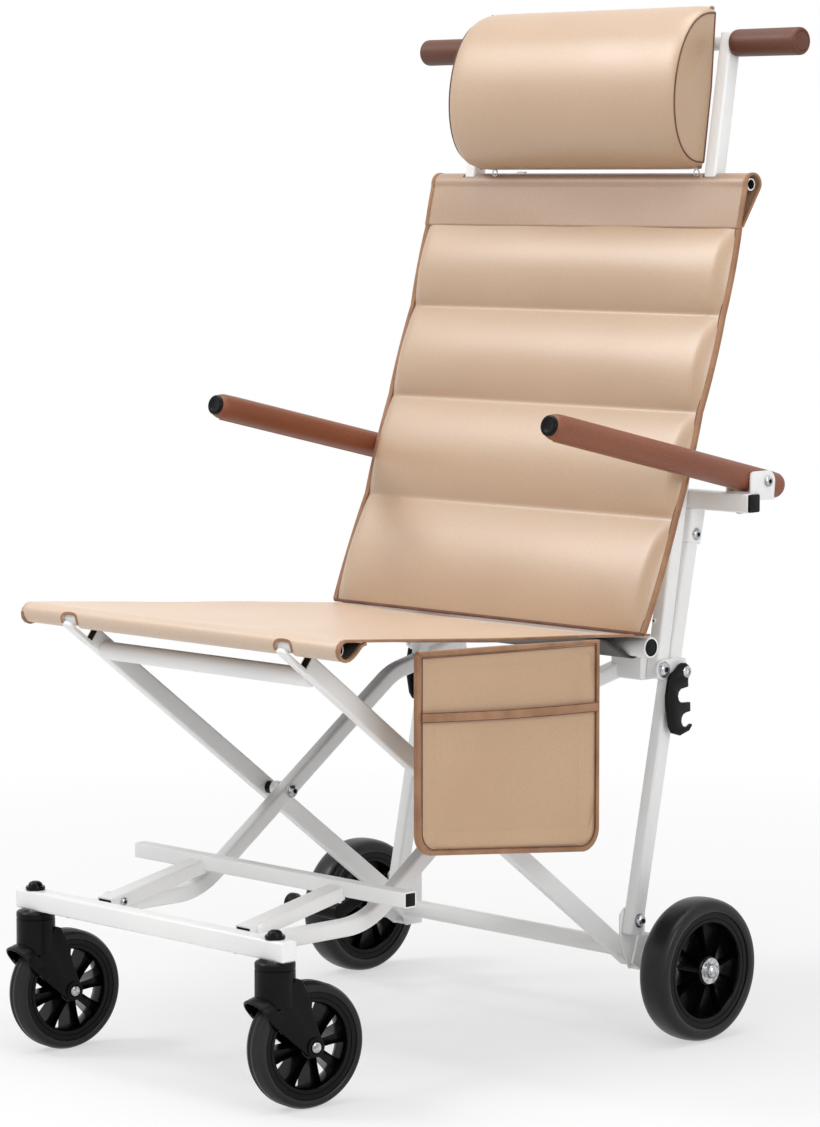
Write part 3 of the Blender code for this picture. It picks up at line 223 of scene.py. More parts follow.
def zinc_plate(name):
    """Bright zinc on turned steel."""
    material, tree, shader, place = start_material(name, 0.22, 1.0)
    tone = speckled(tree, place, 4.0, "#8E9093", "#CFD0D2")
    gloss = varied_gloss(tree, place, 2.0, 0.14, 0.34)
    marks = fine_skin(tree, place, 0.9, 2.0, 0.12, 0.0002)
    dress(tree, shader, tone, marks, gloss)
    return material


ZINC = zinc_plate("zinc_plated_steel")
print("made", ZINC.name)

# %% [markdown]
# ## Black plastics and rubber
#
# Three blacks share the chair. The wheel rims and plugs are glossy moulded nylon. The caster forks are
# the same nylon from a mould with a fine spark eroded texture. The tyres are polyurethane: softer and
# greyer, with faint scuffs from the floor. One function makes all three, because they differ only in
# tone, gloss and how coarse their skin is. The room is white, so a low specular level keeps them from
# mirroring it as grey.

# %% Moulded blacks


def moulded(name, dark, light, patch, rough_low, rough_high, skin, depth, shine=0.5):
    """Moulded plastic or rubber: a tone in patches, uneven gloss and a fine skin."""
    material, tree, shader, place = start_material(name, rough_low)
    shader.inputs["Specular IOR Level"].default_value = shine
    tone = speckled(tree, place, patch, dark, light)
    gloss = varied_gloss(tree, place, patch / 3, rough_low, rough_high)
    grain = fine_skin(tree, place, skin, 2.0, depth, 0.0004)
    dress(tree, shader, tone, grain, gloss)
    return material


GLOSS_NYLON = moulded("moulded_nylon_gloss_black", "#060607", "#0C0C0D", patch=30.0, rough_low=0.16,
                      rough_high=0.28, skin=1.8, depth=0.05, shine=0.15)
TEXTURED_NYLON = moulded("moulded_nylon_textured_black", "#070708", "#0D0D0E", patch=30.0, rough_low=0.26,
                         rough_high=0.38, skin=0.9, depth=0.14, shine=0.13)
TYRE = moulded("polyurethane_tyre_black", "#151516", "#1E1E20", patch=45.0, rough_low=0.26, rough_high=0.38,
               skin=1.6, depth=0.10, shine=0.28)
print("made", GLOSS_NYLON.name, TEXTURED_NYLON.name, TYRE.name)

# %% [markdown]
# ## Leatherette
#
# Seat, back, headrest and pocket are polyurethane leatherette: a knitted backing with a soft coating
# that is rolled with a leather grain. The grain is a net of creases between small pebbles. A Voronoi
# texture that measures the distance to its cell edges gives just that, and a little noise bends its
# straight edges. Real pebbles are about 0.8 mm across; 1.4 mm is drawn, so that the grain shows at this
# distance. Wide, slow patches of tone stand for the way the coating takes light over the soft foam.
#
# Back and headrest have a pearly lacquer, seen in the photograph as broad pale highlights on a tan
# ground. A clear coat with a raised IOR does this: it mirrors the white room softly over the colour.
# The seat has less of it and a lighter beige, which is painted light from the lamp above. The pocket has
# hardly any, and the top band is the same beige drawn darker as painted shade. The arm covers and
# the push grips are brown, with deeper creases and almost no lacquer.

# %% Leatherette


def leatherette(name, dark, light, crease, coat, coat_ior=1.5, pebble=1.4, depth=0.09, rough=(0.44, 0.56)):
    """Coated fabric with a rolled leather grain and a clear top coat."""
    material, tree, shader, place = start_material(name, rough[0])
    shader.inputs["Coat Weight"].default_value = coat
    shader.inputs["Coat Roughness"].default_value = 0.40
    shader.inputs["Coat IOR"].default_value = coat_ior
    bend = add_node(tree, "ShaderNodeTexNoise", {}, {"Scale": per_mm(pebble * 2), "Detail": 1.0},
                    {"Vector": place})
    offset = add_node(tree, "ShaderNodeVectorMath", {"operation": "MULTIPLY_ADD"}, {1: (0.001, 0.001, 0.001)},
                      {0: bend.outputs["Color"], 2: place})
    cells = add_node(tree, "ShaderNodeTexVoronoi", {"feature": "DISTANCE_TO_EDGE"}, {"Scale": per_mm(pebble)},
                     {"Vector": offset.outputs[0]})
    pebbles = add_node(tree, "ShaderNodeMapRange", {}, {1: 0.0, 2: 0.18}, {0: cells.outputs["Distance"]})
    tone = speckled(tree, place, 120.0, dark, light, 2.0, 0.3, 0.7)
    colour = add_node(tree, "ShaderNodeMix", {"data_type": "RGBA"}, {6: linear(crease)},
                      {0: pebbles.outputs[0], 7: tone})
    gloss = varied_gloss(tree, place, 60.0, *rough)
    bump = add_node(tree, "ShaderNodeBump", {}, {"Strength": depth, "Distance": 0.0004},
                    {"Height": pebbles.outputs[0]})
    dress(tree, shader, colour.outputs[2], bump, gloss)
    return material


BEIGE = leatherette("leatherette_beige_pearl", "#B99979", "#C2A384", "#B19171", 1.0, 1.75, depth=0.07)
# Painted light: the seat's beige is lighter, for the light that falls on its top.
SEAT_BEIGE_PAINTED_LIGHT = leatherette("leatherette_beige_seat_painted_light", "#D3B9A0", "#DCC3AB", "#CBAF95", 0.6, 1.7, depth=0.07)
POCKET_BEIGE = leatherette("leatherette_beige_matt", "#C3A181", "#CCAB8B", "#BC9A7A", 0.15)
# Painted shade: the band's beige is darker, for the shade it lies in under the headrest.
BAND_BEIGE_PAINTED_SHADE = leatherette("leatherette_beige_band_painted_shade", "#A98A6E", "#B39377", "#A08166", 0.8, 1.7)
BROWN = leatherette("leatherette_brown", "#80462A", "#925233", "#6F3B23", 0.12, pebble=1.6, depth=0.12,
                    rough=(0.42, 0.54))
GRIP_BROWN = leatherette("leatherette_dark_brown", "#5E2F1A", "#6E3A22", "#4E2715", 0.02, pebble=1.6,
                         depth=0.12, rough=(0.42, 0.54))
print("made", BEIGE.name, BAND_BEIGE_PAINTED_SHADE.name, BROWN.name, GRIP_BROWN.name)

# %% [markdown]
# ## Binding tape and thread
#
# The raw edges of the fabric are bound with a brown tape, about 6 mm wide and folded over the edge. It
# is woven, so it takes a fine ribbed bump with one rib per 1.6 mm. The edges of the seat's openings
# have the same tape. Thread has finer ribs and a darker brown. The knitted back of the leatherette is
# drawn nearly black: partly its own colour, partly painted shade under the seat and round the rear tube.

# %% Binding tape


def woven_tape(name, dark, light, rib):
    """Ribbed polyester tape."""
    material, tree, shader, place = start_material(name, 0.62)
    ribs = add_node(tree, "ShaderNodeTexWave", {"wave_type": "BANDS", "bands_direction": "DIAGONAL"},
                    {"Scale": per_mm(rib) / 6.28, "Distortion": 1.5, "Detail": 1.0}, {"Vector": place})
    tone = speckled(tree, place, 25.0, dark, light)
    bump = add_node(tree, "ShaderNodeBump", {}, {"Strength": 0.25, "Distance": 0.0003},
                    {"Height": ribs.outputs["Fac"]})
    dress(tree, shader, tone, bump)
    shader.inputs["Sheen Weight"].default_value = 0.15
    return material


TAPE = woven_tape("woven_binding_tape_brown", "#8F6546", "#A67B5A", 1.6)
THREAD = woven_tape("twisted_thread_dark_brown", "#5A3524", "#6E4530", 1.0)
# The backing's near black is partly its own colour and partly painted shade.
BACKING_PAINTED_SHADE = woven_tape("knitted_backing_painted_shade", "#2A2421", "#3A322D", 1.4)
# Painted shade: a dark grey for the insides of tube ends and bolt sockets, where only shade falls.
SHADOW = moulded("painted_shade_tube_inside", "#1B1B1B", "#262626", patch=20.0, rough_low=0.70, rough_high=0.80,
                 skin=2.0, depth=0.10)
print("made", TAPE.name, THREAD.name, BACKING_PAINTED_SHADE.name, SHADOW.name)

# %% [markdown]
# ## Making a piece
#
# Each piece is shaped in a bmesh and then turned into an object, which rides on a body where one is
# named. The helper moves it by the chair's shift, gives it its materials and shades it smooth, with
# edges sharper than a given angle kept crisp. Most pieces name a body; the seat sheet, its bindings and
# the floor name none.

# %% Piece helper


def linked_object(shape, name):
    """Turn a bmesh into an object of the scene."""
    mesh = bpy.data.meshes.new(name)
    shape.to_mesh(mesh)
    shape.free()
    piece = bpy.data.objects.new(name, mesh)
    bpy.context.scene.collection.objects.link(piece)
    return piece


def make_piece(shape, name, finish, body, stands_for=(), inside=None, crisp=38, shift=True):
    """Turn a bmesh into a piece that rides on a body and may stand for CAD nodes."""
    if shift:
        bmesh.ops.translate(shape, vec=(0, CHAIR_SHIFT, 0), verts=shape.verts)
    piece = linked_object(shape, name)
    piece.data.materials.append(finish)
    if inside:
        piece.data.materials.append(inside)
    piece.data.shade_smooth()
    piece.data.set_sharp_from_angle(angle=radians(crisp))
    if body:
        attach(piece, body)
    if stands_for:
        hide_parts(*stands_for)
    return piece


# %% [markdown]
# ## Tubes
#
# A real tube is drawn through a die, so its section is the same all along, with round corners. That is
# how it is made here: a flat section, either a square face with its corners bevelled or a circle, is
# extruded along a path. At each point of the path the new end is turned square to the path. An end that
# shows is hollowed like the real one: the end face is inset by the wall and pushed in, and the inside
# gets a dark grey that is painted shade.

# %% Sections and sweeping


def rounded(shape, geom, radius, segments, affect="EDGES", clamp=False):
    """Bevel edges, or the corners of a flat face, until they are round."""
    bmesh.ops.bevel(shape, geom=geom, offset=radius, offset_type="OFFSET", segments=segments, profile=0.5,
                    affect=affect, material=-1, clamp_overlap=clamp)


def square_section(shape, width, height, corner):
    """A flat rounded rectangle: width across, height in the bend's plane."""
    corners = bmesh.ops.create_grid(shape, x_segments=1, y_segments=1, size=0.5)["verts"]
    bmesh.ops.scale(shape, vec=(width, height, 1.0), verts=corners)
    rounded(shape, corners, corner, 4, "VERTICES")
    return shape.faces[:][0]


def round_section(shape, radius, sides=28):
    """A flat disc."""
    bmesh.ops.create_circle(shape, cap_ends=True, segments=sides, radius=radius)
    return shape.faces[:][0]


def path_frames(points, side):
    """A matrix at each point of a path: width along side, length along the path."""
    points = [Vector(point) for point in points]
    frames = []
    for i, point in enumerate(points):
        along = (points[min(i + 1, len(points) - 1)] - points[max(i - 1, 0)]).normalized()
        across = (side - along * side.dot(along)).normalized()
        turn = Matrix((across, along.cross(across), along)).transposed()
        frames.append(Matrix.Translation(point) @ turn.to_4x4())
    return frames


def extruded(shape, face, keep):
    """Extrude one face, and drop the old face unless it is to be kept as a cap."""
    made = bmesh.ops.extrude_face_region(shape, geom=[face])["geom"]
    fresh = next(item for item in made if isinstance(item, bmesh.types.BMFace))
    if not keep:
        bmesh.ops.delete(shape, geom=[face], context="FACES_ONLY")
    return fresh


def sweep(shape, section, points, side):
    """Extrude a flat section along a path, and return its two end faces."""
    frames = path_frames(points, side)
    bmesh.ops.transform(shape, matrix=frames[0], verts=section.verts[:])
    end = section
    for before, after in zip(frames, frames[1:]):
        end = extruded(shape, end, keep=end is section)
        bmesh.ops.transform(shape, matrix=after @ before.inverted(), verts=end.verts[:])
    bmesh.ops.recalc_face_normals(shape, faces=shape.faces)
    return section, end


def hollow_end(shape, face, wall, depth):
    """Hollow a tube's end and give its inside the second material, a dark painted shade."""
    bmesh.ops.inset_region(shape, faces=[face], thickness=wall, use_even_offset=True)
    inward = -face.normal
    floor = extruded(shape, face, keep=False)
    bmesh.ops.translate(shape, vec=inward * depth, verts=floor.verts[:])
    bmesh.ops.recalc_face_normals(shape, faces=shape.faces)
    floor.material_index = 1
    for edge in floor.edges:
        for side_face in edge.link_faces:
            side_face.material_index = 1


def tube(name, section, points, side, body, stands_for=(), open_ends=(False, False), finish=COAT, wall=0.0014,
         rim=0.0008, depth=0.020):
    """A tube with a (width, height, corner) or (radius,) section along a path."""
    shape = bmesh.new()
    flat = square_section(shape, *section) if len(section) == 3 else round_section(shape, *section)
    ends = sweep(shape, flat, points, side)
    for face, is_open in zip(ends, open_ends):
        if is_open:
            hollow_end(shape, face, wall, depth)
        else:
            rounded(shape, face.edges[:], rim, 3)
    return make_piece(shape, name, finish, body, stands_for, SHADOW)


def side_path(x, points):
    """A path in the side view at one x."""
    return [(x, y, z) for y, z in points]


def bar_path(low, high, y, z):
    """A straight path along X."""
    return [(low, y, z), (high, y, z)]


def cord(name, points, side, radius, sides, finish, body):
    """A thin round cord swept along a line, for piping and seams."""
    shape = bmesh.new()
    sweep(shape, round_section(shape, radius, sides), points, side)
    return make_piece(shape, name, finish, body)


print("a path along X, 0.2 m long:", bar_path(-0.1, 0.1, 0.0, 0.0))

# %% [markdown]
# ## Bends
#
# The long scissor tubes are bent cold round a former, twice. A path of straight lines gets each corner
# replaced by an arc of the former's radius, with a point every few degrees, so the swept tube looks
# smoothly bent.

# %% Rounded paths


def bend_path(points, radii, steps=10):
    """A (y, z) path with its inner corners rounded."""
    path = [Vector(points[0])]
    for before, corner, after, radius in zip(points, points[1:], points[2:], radii):
        corner = Vector(corner)
        incoming = (Vector(before) - corner).normalized()
        outgoing = (Vector(after) - corner).normalized()
        half = incoming.angle(outgoing) / 2
        centre = corner + (incoming + outgoing).normalized() * radius / sin(half)
        start = corner + incoming * radius / tan(half) - centre
        swing = start.angle_signed(corner + outgoing * radius / tan(half) - centre)
        path.extend(centre + Matrix.Rotation(-swing * i / steps, 2) @ start for i in range(steps + 1))
    path.append(Vector(points[-1]))
    return path


HIGH_BEND_REACH = 0.157
LOW_BEND = (PIVOT.x - (PIVOT.y - SCISSOR_LOW_Z) / SCISSOR_SLOPE, SCISSOR_LOW_Z)
HIGH_BEND = (PIVOT.x + HIGH_BEND_REACH, PIVOT.y + HIGH_BEND_REACH * SCISSOR_SLOPE)
scissor_path = bend_path([(-0.3197, SCISSOR_LOW_Z), LOW_BEND, HIGH_BEND, (0.236, 0.3845)], [0.090, 0.070])
print("scissor path points:", len(scissor_path))

# %% [markdown]
# ## Lathe work
#
# Wheels, tyres, washers, bolt heads and grips are round. Each is a short line of points, given as
# distance along the axle and radius, spun once round with the ends merged. A profile that returns to
# its start gives a ring, and one that starts and ends on the axle gives a solid. For the chair's right
# side the distances are mirrored.

# %% Lathe


def lathe(shape, profile, centre, ring=False, steps=48, axis=X_AXIS):
    """Spin (distance, radius) points about an axle through centre."""
    up = Z_AXIS if abs(axis.z) < 0.9 else Y_AXIS
    up = (up - axis * up.dot(axis)).normalized()
    centre = Vector(centre)
    before = set(shape.verts)
    verts = [shape.verts.new(centre + axis * x + up * radius) for x, radius in profile]
    pairs = list(zip(verts, verts[1:])) + ([(verts[-1], verts[0])] if ring else [])
    edges = [shape.edges.new(pair) for pair in pairs]
    bmesh.ops.spin(shape, geom=verts + edges, cent=centre, axis=axis, angle=2 * pi, steps=steps,
                   use_merge=True)
    made = [vert for vert in shape.verts if vert not in before]
    bmesh.ops.remove_doubles(shape, verts=made, dist=0.000001)
    made = [vert for vert in shape.verts if vert not in before]
    faces = list({face for vert in made for face in vert.link_faces})
    bmesh.ops.recalc_face_normals(shape, faces=faces)
    return made


def rounded_profile(points, radius, steps=4):
    """A (distance, radius) profile with its inner corners rounded."""
    corners = [Vector(point) for point in points]
    result = [corners[0]]
    for before, corner, after in zip(corners, corners[1:], corners[2:]):
        reach = min(radius, 0.45 * (before - corner).length, 0.45 * (after - corner).length)
        start = corner + (before - corner).normalized() * reach
        stop = corner + (after - corner).normalized() * reach
        for i in range(steps + 1):
            t = i / steps
            result.append(start * (1 - t) ** 2 + corner * 2 * t * (1 - t) + stop * t ** 2)
    result.append(corners[-1])
    return [(point.x, point.y) for point in result]


def rod(start, end, radius):
    """The profile of a plain round rod."""
    return [(start, 0.0), (start, radius), (end, radius), (end, 0.0)]


def mirrored(profile, sign):
    """The profile with its distances turned round where the sign is negative."""
    return [(sign * x, radius) for x, radius in profile]


def turned(name, profile, centre, finish, body, stands_for=(), steps=48, axis=X_AXIS, crisp=38):
    """A piece spun from one profile."""
    shape = bmesh.new()
    lathe(shape, profile, centre, steps=steps, axis=axis)
    return make_piece(shape, name, finish, body, stands_for, crisp=crisp)


test_shape = bmesh.new()
made = lathe(test_shape, rod(0.0, 0.004, 0.01), (0, 0, 0), steps=12)
print("a 12 step washer has", len(made), "points and",
      sum(1 for edge in test_shape.edges if len(edge.link_faces) != 2), "open edges")
test_shape.free()

# %% [markdown]
# ## Copies of the CAD solids with softer edges
#
# Legs, brackets, clevises, catch plates and the brake have their true shape already in the packed
# model, as loose triangles with knife-sharp edges. Real sheet metal and mouldings have rounded edges
# that catch a thin line of light. So each is copied, its triangles are merged back into flat faces, and
# every sharp edge is bevelled.

# %% Softened copies


def softened(node, name, finish, body, edge, sharp=38):
    """A merged copy of a CAD node with its sharp edges rounded."""
    shape = bmesh.new()
    shape.from_mesh(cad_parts[node].data)
    bmesh.ops.remove_doubles(shape, verts=shape.verts, dist=0.00001)
    bmesh.ops.dissolve_limit(shape, angle_limit=radians(1.0), verts=shape.verts, edges=shape.edges)
    edges = [item for item in shape.edges
             if len(item.link_faces) == 2 and item.calc_face_angle() > radians(sharp)]
    rounded(shape, edges, edge, 2, clamp=True)
    return make_piece(shape, name, finish, body, (node,), crisp=42, shift=False)


print("nodes to choose from:", len(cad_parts))

# %% [markdown]
# ## Camera and studio
#
# The photograph was taken from the chair's front left with a long lens from about four metres, so its
# lines hardly converge. The camera's place, turn and lens were fitted to known points of the frame.
# Three soft boxes light the chair: a wide one above, a smaller one high up at the picture's left that
# draws the highlights on the channels, and one at the right that fills the near side. The background
# and the far floor are white for the camera and for mirror rays, and lend the chair less light than
# they show.

# %% Camera
camera = bpy.data.objects.new("camera", bpy.data.cameras.new("camera"))
bpy.context.scene.collection.objects.link(camera)
camera.location = (2.9173, -2.8129, 0.8997)
camera.rotation_euler = (radians(90.0 - 5.656), 0.0, radians(45.649))
camera.data.sensor_fit = "VERTICAL"
camera.data.sensor_height = 36.0
camera.data.lens = 124.32
bpy.context.scene.camera = camera
print("camera distance:", round(camera.location.length, 3), "m")

# %% Lamps


def soft_lamp(name, power, size, place, target):
    """A square soft box that points at a target."""
    lamp = bpy.data.objects.new(name, bpy.data.lights.new(name, "AREA"))
    lamp.data.energy = power
    lamp.data.size = size
    lamp.location = place
    lamp.rotation_euler = (Vector(target) - Vector(place)).to_track_quat("-Z", "Y").to_euler()
    bpy.context.scene.collection.objects.link(lamp)
    return lamp


soft_lamp("top_soft_box", 40.0, 2.2, (0.1, -0.1, 3.0), (0, 0, 0.4))
soft_lamp("left_soft_box", 34.0, 0.9, (-1.75, -1.75, 2.75), (0, 0, 0.6))
soft_lamp("right_soft_box", 30.0, 1.6, (3.0, -0.8, 1.8), (0, 0, 0.5))

# %% White background for the camera's rays


def seen_directly(tree):
    """1 for camera, mirror and transmission rays, 0 for the rays that light the chair."""
    rays = add_node(tree, "ShaderNodeLightPath")
    mirror = add_node(tree, "ShaderNodeMath", {"operation": "MAXIMUM"}, {},
                      {0: rays.outputs["Is Camera Ray"], 1: rays.outputs["Is Glossy Ray"]})
    return add_node(tree, "ShaderNodeMath", {"operation": "MAXIMUM"}, {},
                    {0: mirror.outputs[0], 1: rays.outputs["Is Transmission Ray"]}).outputs[0]


world = bpy.data.worlds.new("studio")
bpy.context.scene.world = world
world.use_nodes = True
room = world.node_tree
room.nodes.clear()
fill = add_node(room, "ShaderNodeBackground", {}, {"Color": (1, 1, 1, 1), "Strength": 0.44})
white = add_node(room, "ShaderNodeBackground", {}, {"Color": (1, 1, 1, 1), "Strength": 1.0})
choose = add_node(room, "ShaderNodeMixShader", {}, {},
                  {0: seen_directly(room), 1: fill.outputs[0], 2: white.outputs[0]})
add_node(room, "ShaderNodeOutputWorld", {}, {}, {"Surface": choose.outputs[0]})
print("world strength on the chair:", fill.inputs["Strength"].default_value)

# %% Floor
FADE_START = 0.55
FADE_END = 1.9
GLOW_NEAR = 0.55
paint = bpy.data.materials.new("matt_studio_floor_white")
paint.use_nodes = True
floor_tree = paint.node_tree
floor_tree.nodes.clear()
matt = add_node(floor_tree, "ShaderNodeBsdfDiffuse", {}, {"Color": linear("#F4F4F4")})
glow = add_node(floor_tree, "ShaderNodeEmission", {}, {"Color": (1, 1, 1, 1), "Strength": 1.0})
floor_place = add_node(floor_tree, "ShaderNodeTexCoord").outputs["Object"]
reach = add_node(floor_tree, "ShaderNodeVectorMath", {"operation": "LENGTH"}, {}, {0: floor_place})
fade = add_node(floor_tree, "ShaderNodeMapRange", {}, {1: FADE_START, 2: FADE_END, 3: GLOW_NEAR, 4: 1.0},
                {0: reach.outputs["Value"]})
share = add_node(floor_tree, "ShaderNodeMath", {"operation": "MULTIPLY"}, {},
                 {0: seen_directly(floor_tree), 1: fade.outputs[0]})
both = add_node(floor_tree, "ShaderNodeMixShader", {}, {},
                {0: share.outputs[0], 1: matt.outputs[0], 2: glow.outputs[0]})
add_node(floor_tree, "ShaderNodeOutputMaterial", {}, {}, {"Surface": both.outputs[0]})
floor_shape = bmesh.new()
bmesh.ops.create_grid(floor_shape, x_segments=1, y_segments=1, size=30.0)
floor = make_piece(floor_shape, "studio_floor", paint, None)
print("floor side:", floor.dimensions.x, "m")

# %% [markdown]
# ## The seat frame's tubes
#
# Two flat tubes, 12 mm wide and 20 mm high, carry the seat. Each runs from the seat's front rail down
# to the rear foot hinge. At the front the lower wall of the tube runs on as a tongue with a round tip,
# which reaches up to the rail, and the open tube end behind it is closed with a black plug. Two round
# cross tubes tie the pair.

# %% Seat tubes and tongues
SEAT_ANGLE = atan(SEAT_SLOPE)
SEAT_ALONG = Vector((0, -cos(SEAT_ANGLE), sin(SEAT_ANGLE)))
SEAT_OUT = Vector((0, -sin(SEAT_ANGLE), -cos(SEAT_ANGLE)))
RAIL = Vector((0, -0.289, 0.4505))
RAIL_R = 0.008
TONGUE_THICK = 0.0042
SEAT_TUBE_FRONT_Y = -0.270
SEAT_TUBE_REAR_Y = 0.196


def slab(shape, frame_matrix, length, width, thick, tip, edge=0.0006):
    """A flat bar that starts at the matrix's origin and runs along its Z, with a round far end."""
    verts = bmesh.ops.create_grid(shape, x_segments=1, y_segments=1, size=0.5)["verts"]
    bmesh.ops.scale(shape, vec=(width, length, 1.0), verts=verts)
    bmesh.ops.translate(shape, vec=(0, length / 2, 0), verts=verts)
    rounded(shape, [vert for vert in verts if vert.co.y > length / 2], tip, 6, "VERTICES")
    face = shape.faces[:][-1]
    made = bmesh.ops.extrude_face_region(shape, geom=[face])["geom"]
    fresh = [item for item in made if isinstance(item, bmesh.types.BMVert)]
    bmesh.ops.translate(shape, vec=(0, 0, thick), verts=fresh)
    bmesh.ops.recalc_face_normals(shape, faces=shape.faces)
    rounded(shape, [item for item in shape.edges if abs(item.calc_face_angle()) > radians(60)], edge, 2)
    bmesh.ops.transform(shape, matrix=frame_matrix, verts=shape.verts)


tongue_length = 0.0
for side, sign in SIDES:
    x = sign * SEAT_TUBE_X
    front = Vector((x, SEAT_TUBE_FRONT_Y, seat_tube_z(SEAT_TUBE_FRONT_Y)))
    rear = Vector((x, SEAT_TUBE_REAR_Y, seat_tube_z(SEAT_TUBE_REAR_Y)))
    tube("seat_tube_" + side + "_coated", (0.012, 0.020, 0.0026), [front, rear], X_AXIS, "seat_frame",
         ("seat_tube_" + side,), (True, False))
    plug = [front - SEAT_ALONG * depth for depth in (0.008, 0.0008)]
    tube("seat_tube_plug_" + side, (0.0094, 0.0174, 0.0018), plug, X_AXIS, "seat_frame", finish=GLOSS_NYLON)
    root = Vector((x, RAIL.y, seat_tube_z(RAIL.y))) - SEAT_ALONG * 0.027 + SEAT_OUT * 0.00995
    tip = Vector((x, RAIL.y, RAIL.z)) + SEAT_ALONG * 0.0100
    tongue_length = (tip - root).dot(SEAT_ALONG)
    shape = bmesh.new()
    thickness_way = X_AXIS.cross(SEAT_ALONG)
    turn = Matrix((X_AXIS, SEAT_ALONG, thickness_way)).transposed().to_4x4()
    shift_in = thickness_way * (-TONGUE_THICK if thickness_way.dot(SEAT_OUT) > 0 else 0.0)
    slab(shape, Matrix.Translation(root + shift_in) @ turn, tongue_length, 0.0118, TONGUE_THICK, 0.0054)
    make_piece(shape, "rail_tongue_" + side + "_coated", COAT, "seat_frame")
print("tongue length:", round(tongue_length * 1000, 1), "mm")

# %% Front rail and cross tubes
CROSS_HALF = 0.1557
tube("seat_front_rail_coated", (RAIL_R,), bar_path(-0.228, 0.228, RAIL.y, RAIL.z), Y_AXIS, "seat_frame",
     ("seat_front_rail",), (True, True))
for name, y, drop in (("front_cross_tube", -0.256, 0.005), ("rear_cross_tube", 0.179, 0.0)):
    tube(name + "_coated", (0.0095,), bar_path(-CROSS_HALF, CROSS_HALF, y, seat_tube_z(y) - drop), Y_AXIS,
         "seat_frame", (name,))
print("cross tubes reach x =", CROSS_HALF)

# %% [markdown]
# ## The front frame
#
# The bent scissor tubes cross the seat tubes at the pivot bolt. Low down they bend level and meet the
# square front beam, which carries the casters. High up they bend level again and end in a block beside
# the upright. The seat's rear tube lies on a saddle on each of them, and a small lug a side carries the
# footrest's hinge.

# %% Scissor tubes
SEAT_BACK = (0.172, 0.413)
for side, sign in SIDES:
    x = sign * SCISSOR_X
    tube("scissor_tube_" + side + "_coated", (0.016, 0.017, 0.0032), side_path(x, scissor_path), X_AXIS,
         "front_frame", ("scissor_tube_" + side,))
    tube("catch_block_" + side + "_coated", (0.033, 0.024, 0.0022),
         bar_path(x, sign * 0.1703, 0.2215, CATCH[1]), Y_AXIS, "front_frame")
    tube("seat_tube_saddle_" + side + "_coated", (0.012, 0.016, 0.002),
         [(x, SEAT_BACK[0], 0.366), (x, SEAT_BACK[0], 0.4055)], X_AXIS, "front_frame")
    shape = bmesh.new()
    lug_turn = Matrix((Y_AXIS, Z_AXIS, X_AXIS)).transposed().to_4x4()
    lug_place = Matrix.Translation((sign * 0.119 - 0.002, FOOT_HINGE[0], 0.1495))
    slab(shape, lug_place @ lug_turn, 0.0215, 0.017, 0.004, 0.0075)
    make_piece(shape, "footrest_lug_" + side + "_coated", COAT, "front_frame")
print("saddles at x =", SCISSOR_X)

# %% Front beam, rear seat tube and footrest
FOOT_BAR_HALF = 0.205
FOOT_ARM_X = 0.1057
tube("front_beam_coated", (0.020, 0.020, 0.0026), bar_path(-0.204, 0.204, *BEAM), Y_AXIS, "front_frame",
     ("front_beam",), rim=0.0022)
tube("rear_seat_tube_coated", (0.011,), bar_path(-0.215, 0.215, *SEAT_BACK), Y_AXIS, "front_frame",
     ("rear_seat_tube",), (True, True), wall=0.0018)
tube("footrest_bar_coated", (0.016, 0.016, 0.0020), bar_path(-FOOT_BAR_HALF, FOOT_BAR_HALF, *FOOT_BAR),
     Y_AXIS, "footrest", ("footrest_frame",), (True, True))
for side, sign in SIDES:
    x = sign * FOOT_ARM_X
    tube("footrest_arm_" + side + "_coated", (0.022, 0.015, 0.0020),
         side_path(x, [(-0.3007, 0.1605), (-0.175, 0.186)]), X_AXIS, "footrest", (), (True, False),
         depth=0.010)
    tube("footrest_arm_plug_" + side, (0.0192, 0.0122, 0.0014),
         side_path(x, [(-0.2930, 0.1621), (-0.3012, 0.1604)]), X_AXIS, "footrest", finish=GLOSS_NYLON)
    tube("footrest_bar_plug_" + side, (0.0131, 0.0131, 0.0012),
         bar_path(sign * 0.198, sign * 0.2044, *FOOT_BAR), Y_AXIS, "footrest", finish=GLOSS_NYLON)
    tube("rear_seat_tube_plug_" + side, (0.0091,), bar_path(sign * 0.205, sign * 0.2142, *SEAT_BACK), Y_AXIS,
         "front_frame", finish=GLOSS_NYLON)
print("footrest bar is", 2 * FOOT_BAR_HALF, "m long")

# %% [markdown]
# ## The rear frame
#
# A leg a side leans from the foot hinge up to the armrest's tube, and an upright a side runs from the
# catch bolt to the push handle. The handle tube and the tube in the back's top band cross between the
# uprights. The legs and the armrest tubes, with their sleeves and clevises, keep the shape of their
# solids, with softened edges.

# %% Uprights and crossing tubes
for side, sign in SIDES:
    x = sign * LEG_X
    tube("upright_" + side + "_coated", (0.016, 0.018, 0.0028),
         side_path(x, [(upright_y(0.3725), 0.3725), (upright_y(1.053), 1.053)]), X_AXIS, "rear_frame",
         ("upright_" + side,), rim=0.0015)
tube("handle_tube_coated", (0.0075,), bar_path(-0.230, 0.230, *HANDLE), Y_AXIS, "rear_frame",
     ("handle_tube",))
tube("back_top_tube_coated", (0.0065,), bar_path(-0.2305, 0.2305, *TOP_TUBE), Y_AXIS, "rear_frame",
     ("back_top_tube",), (True, True))
print("handle at", HANDLE)

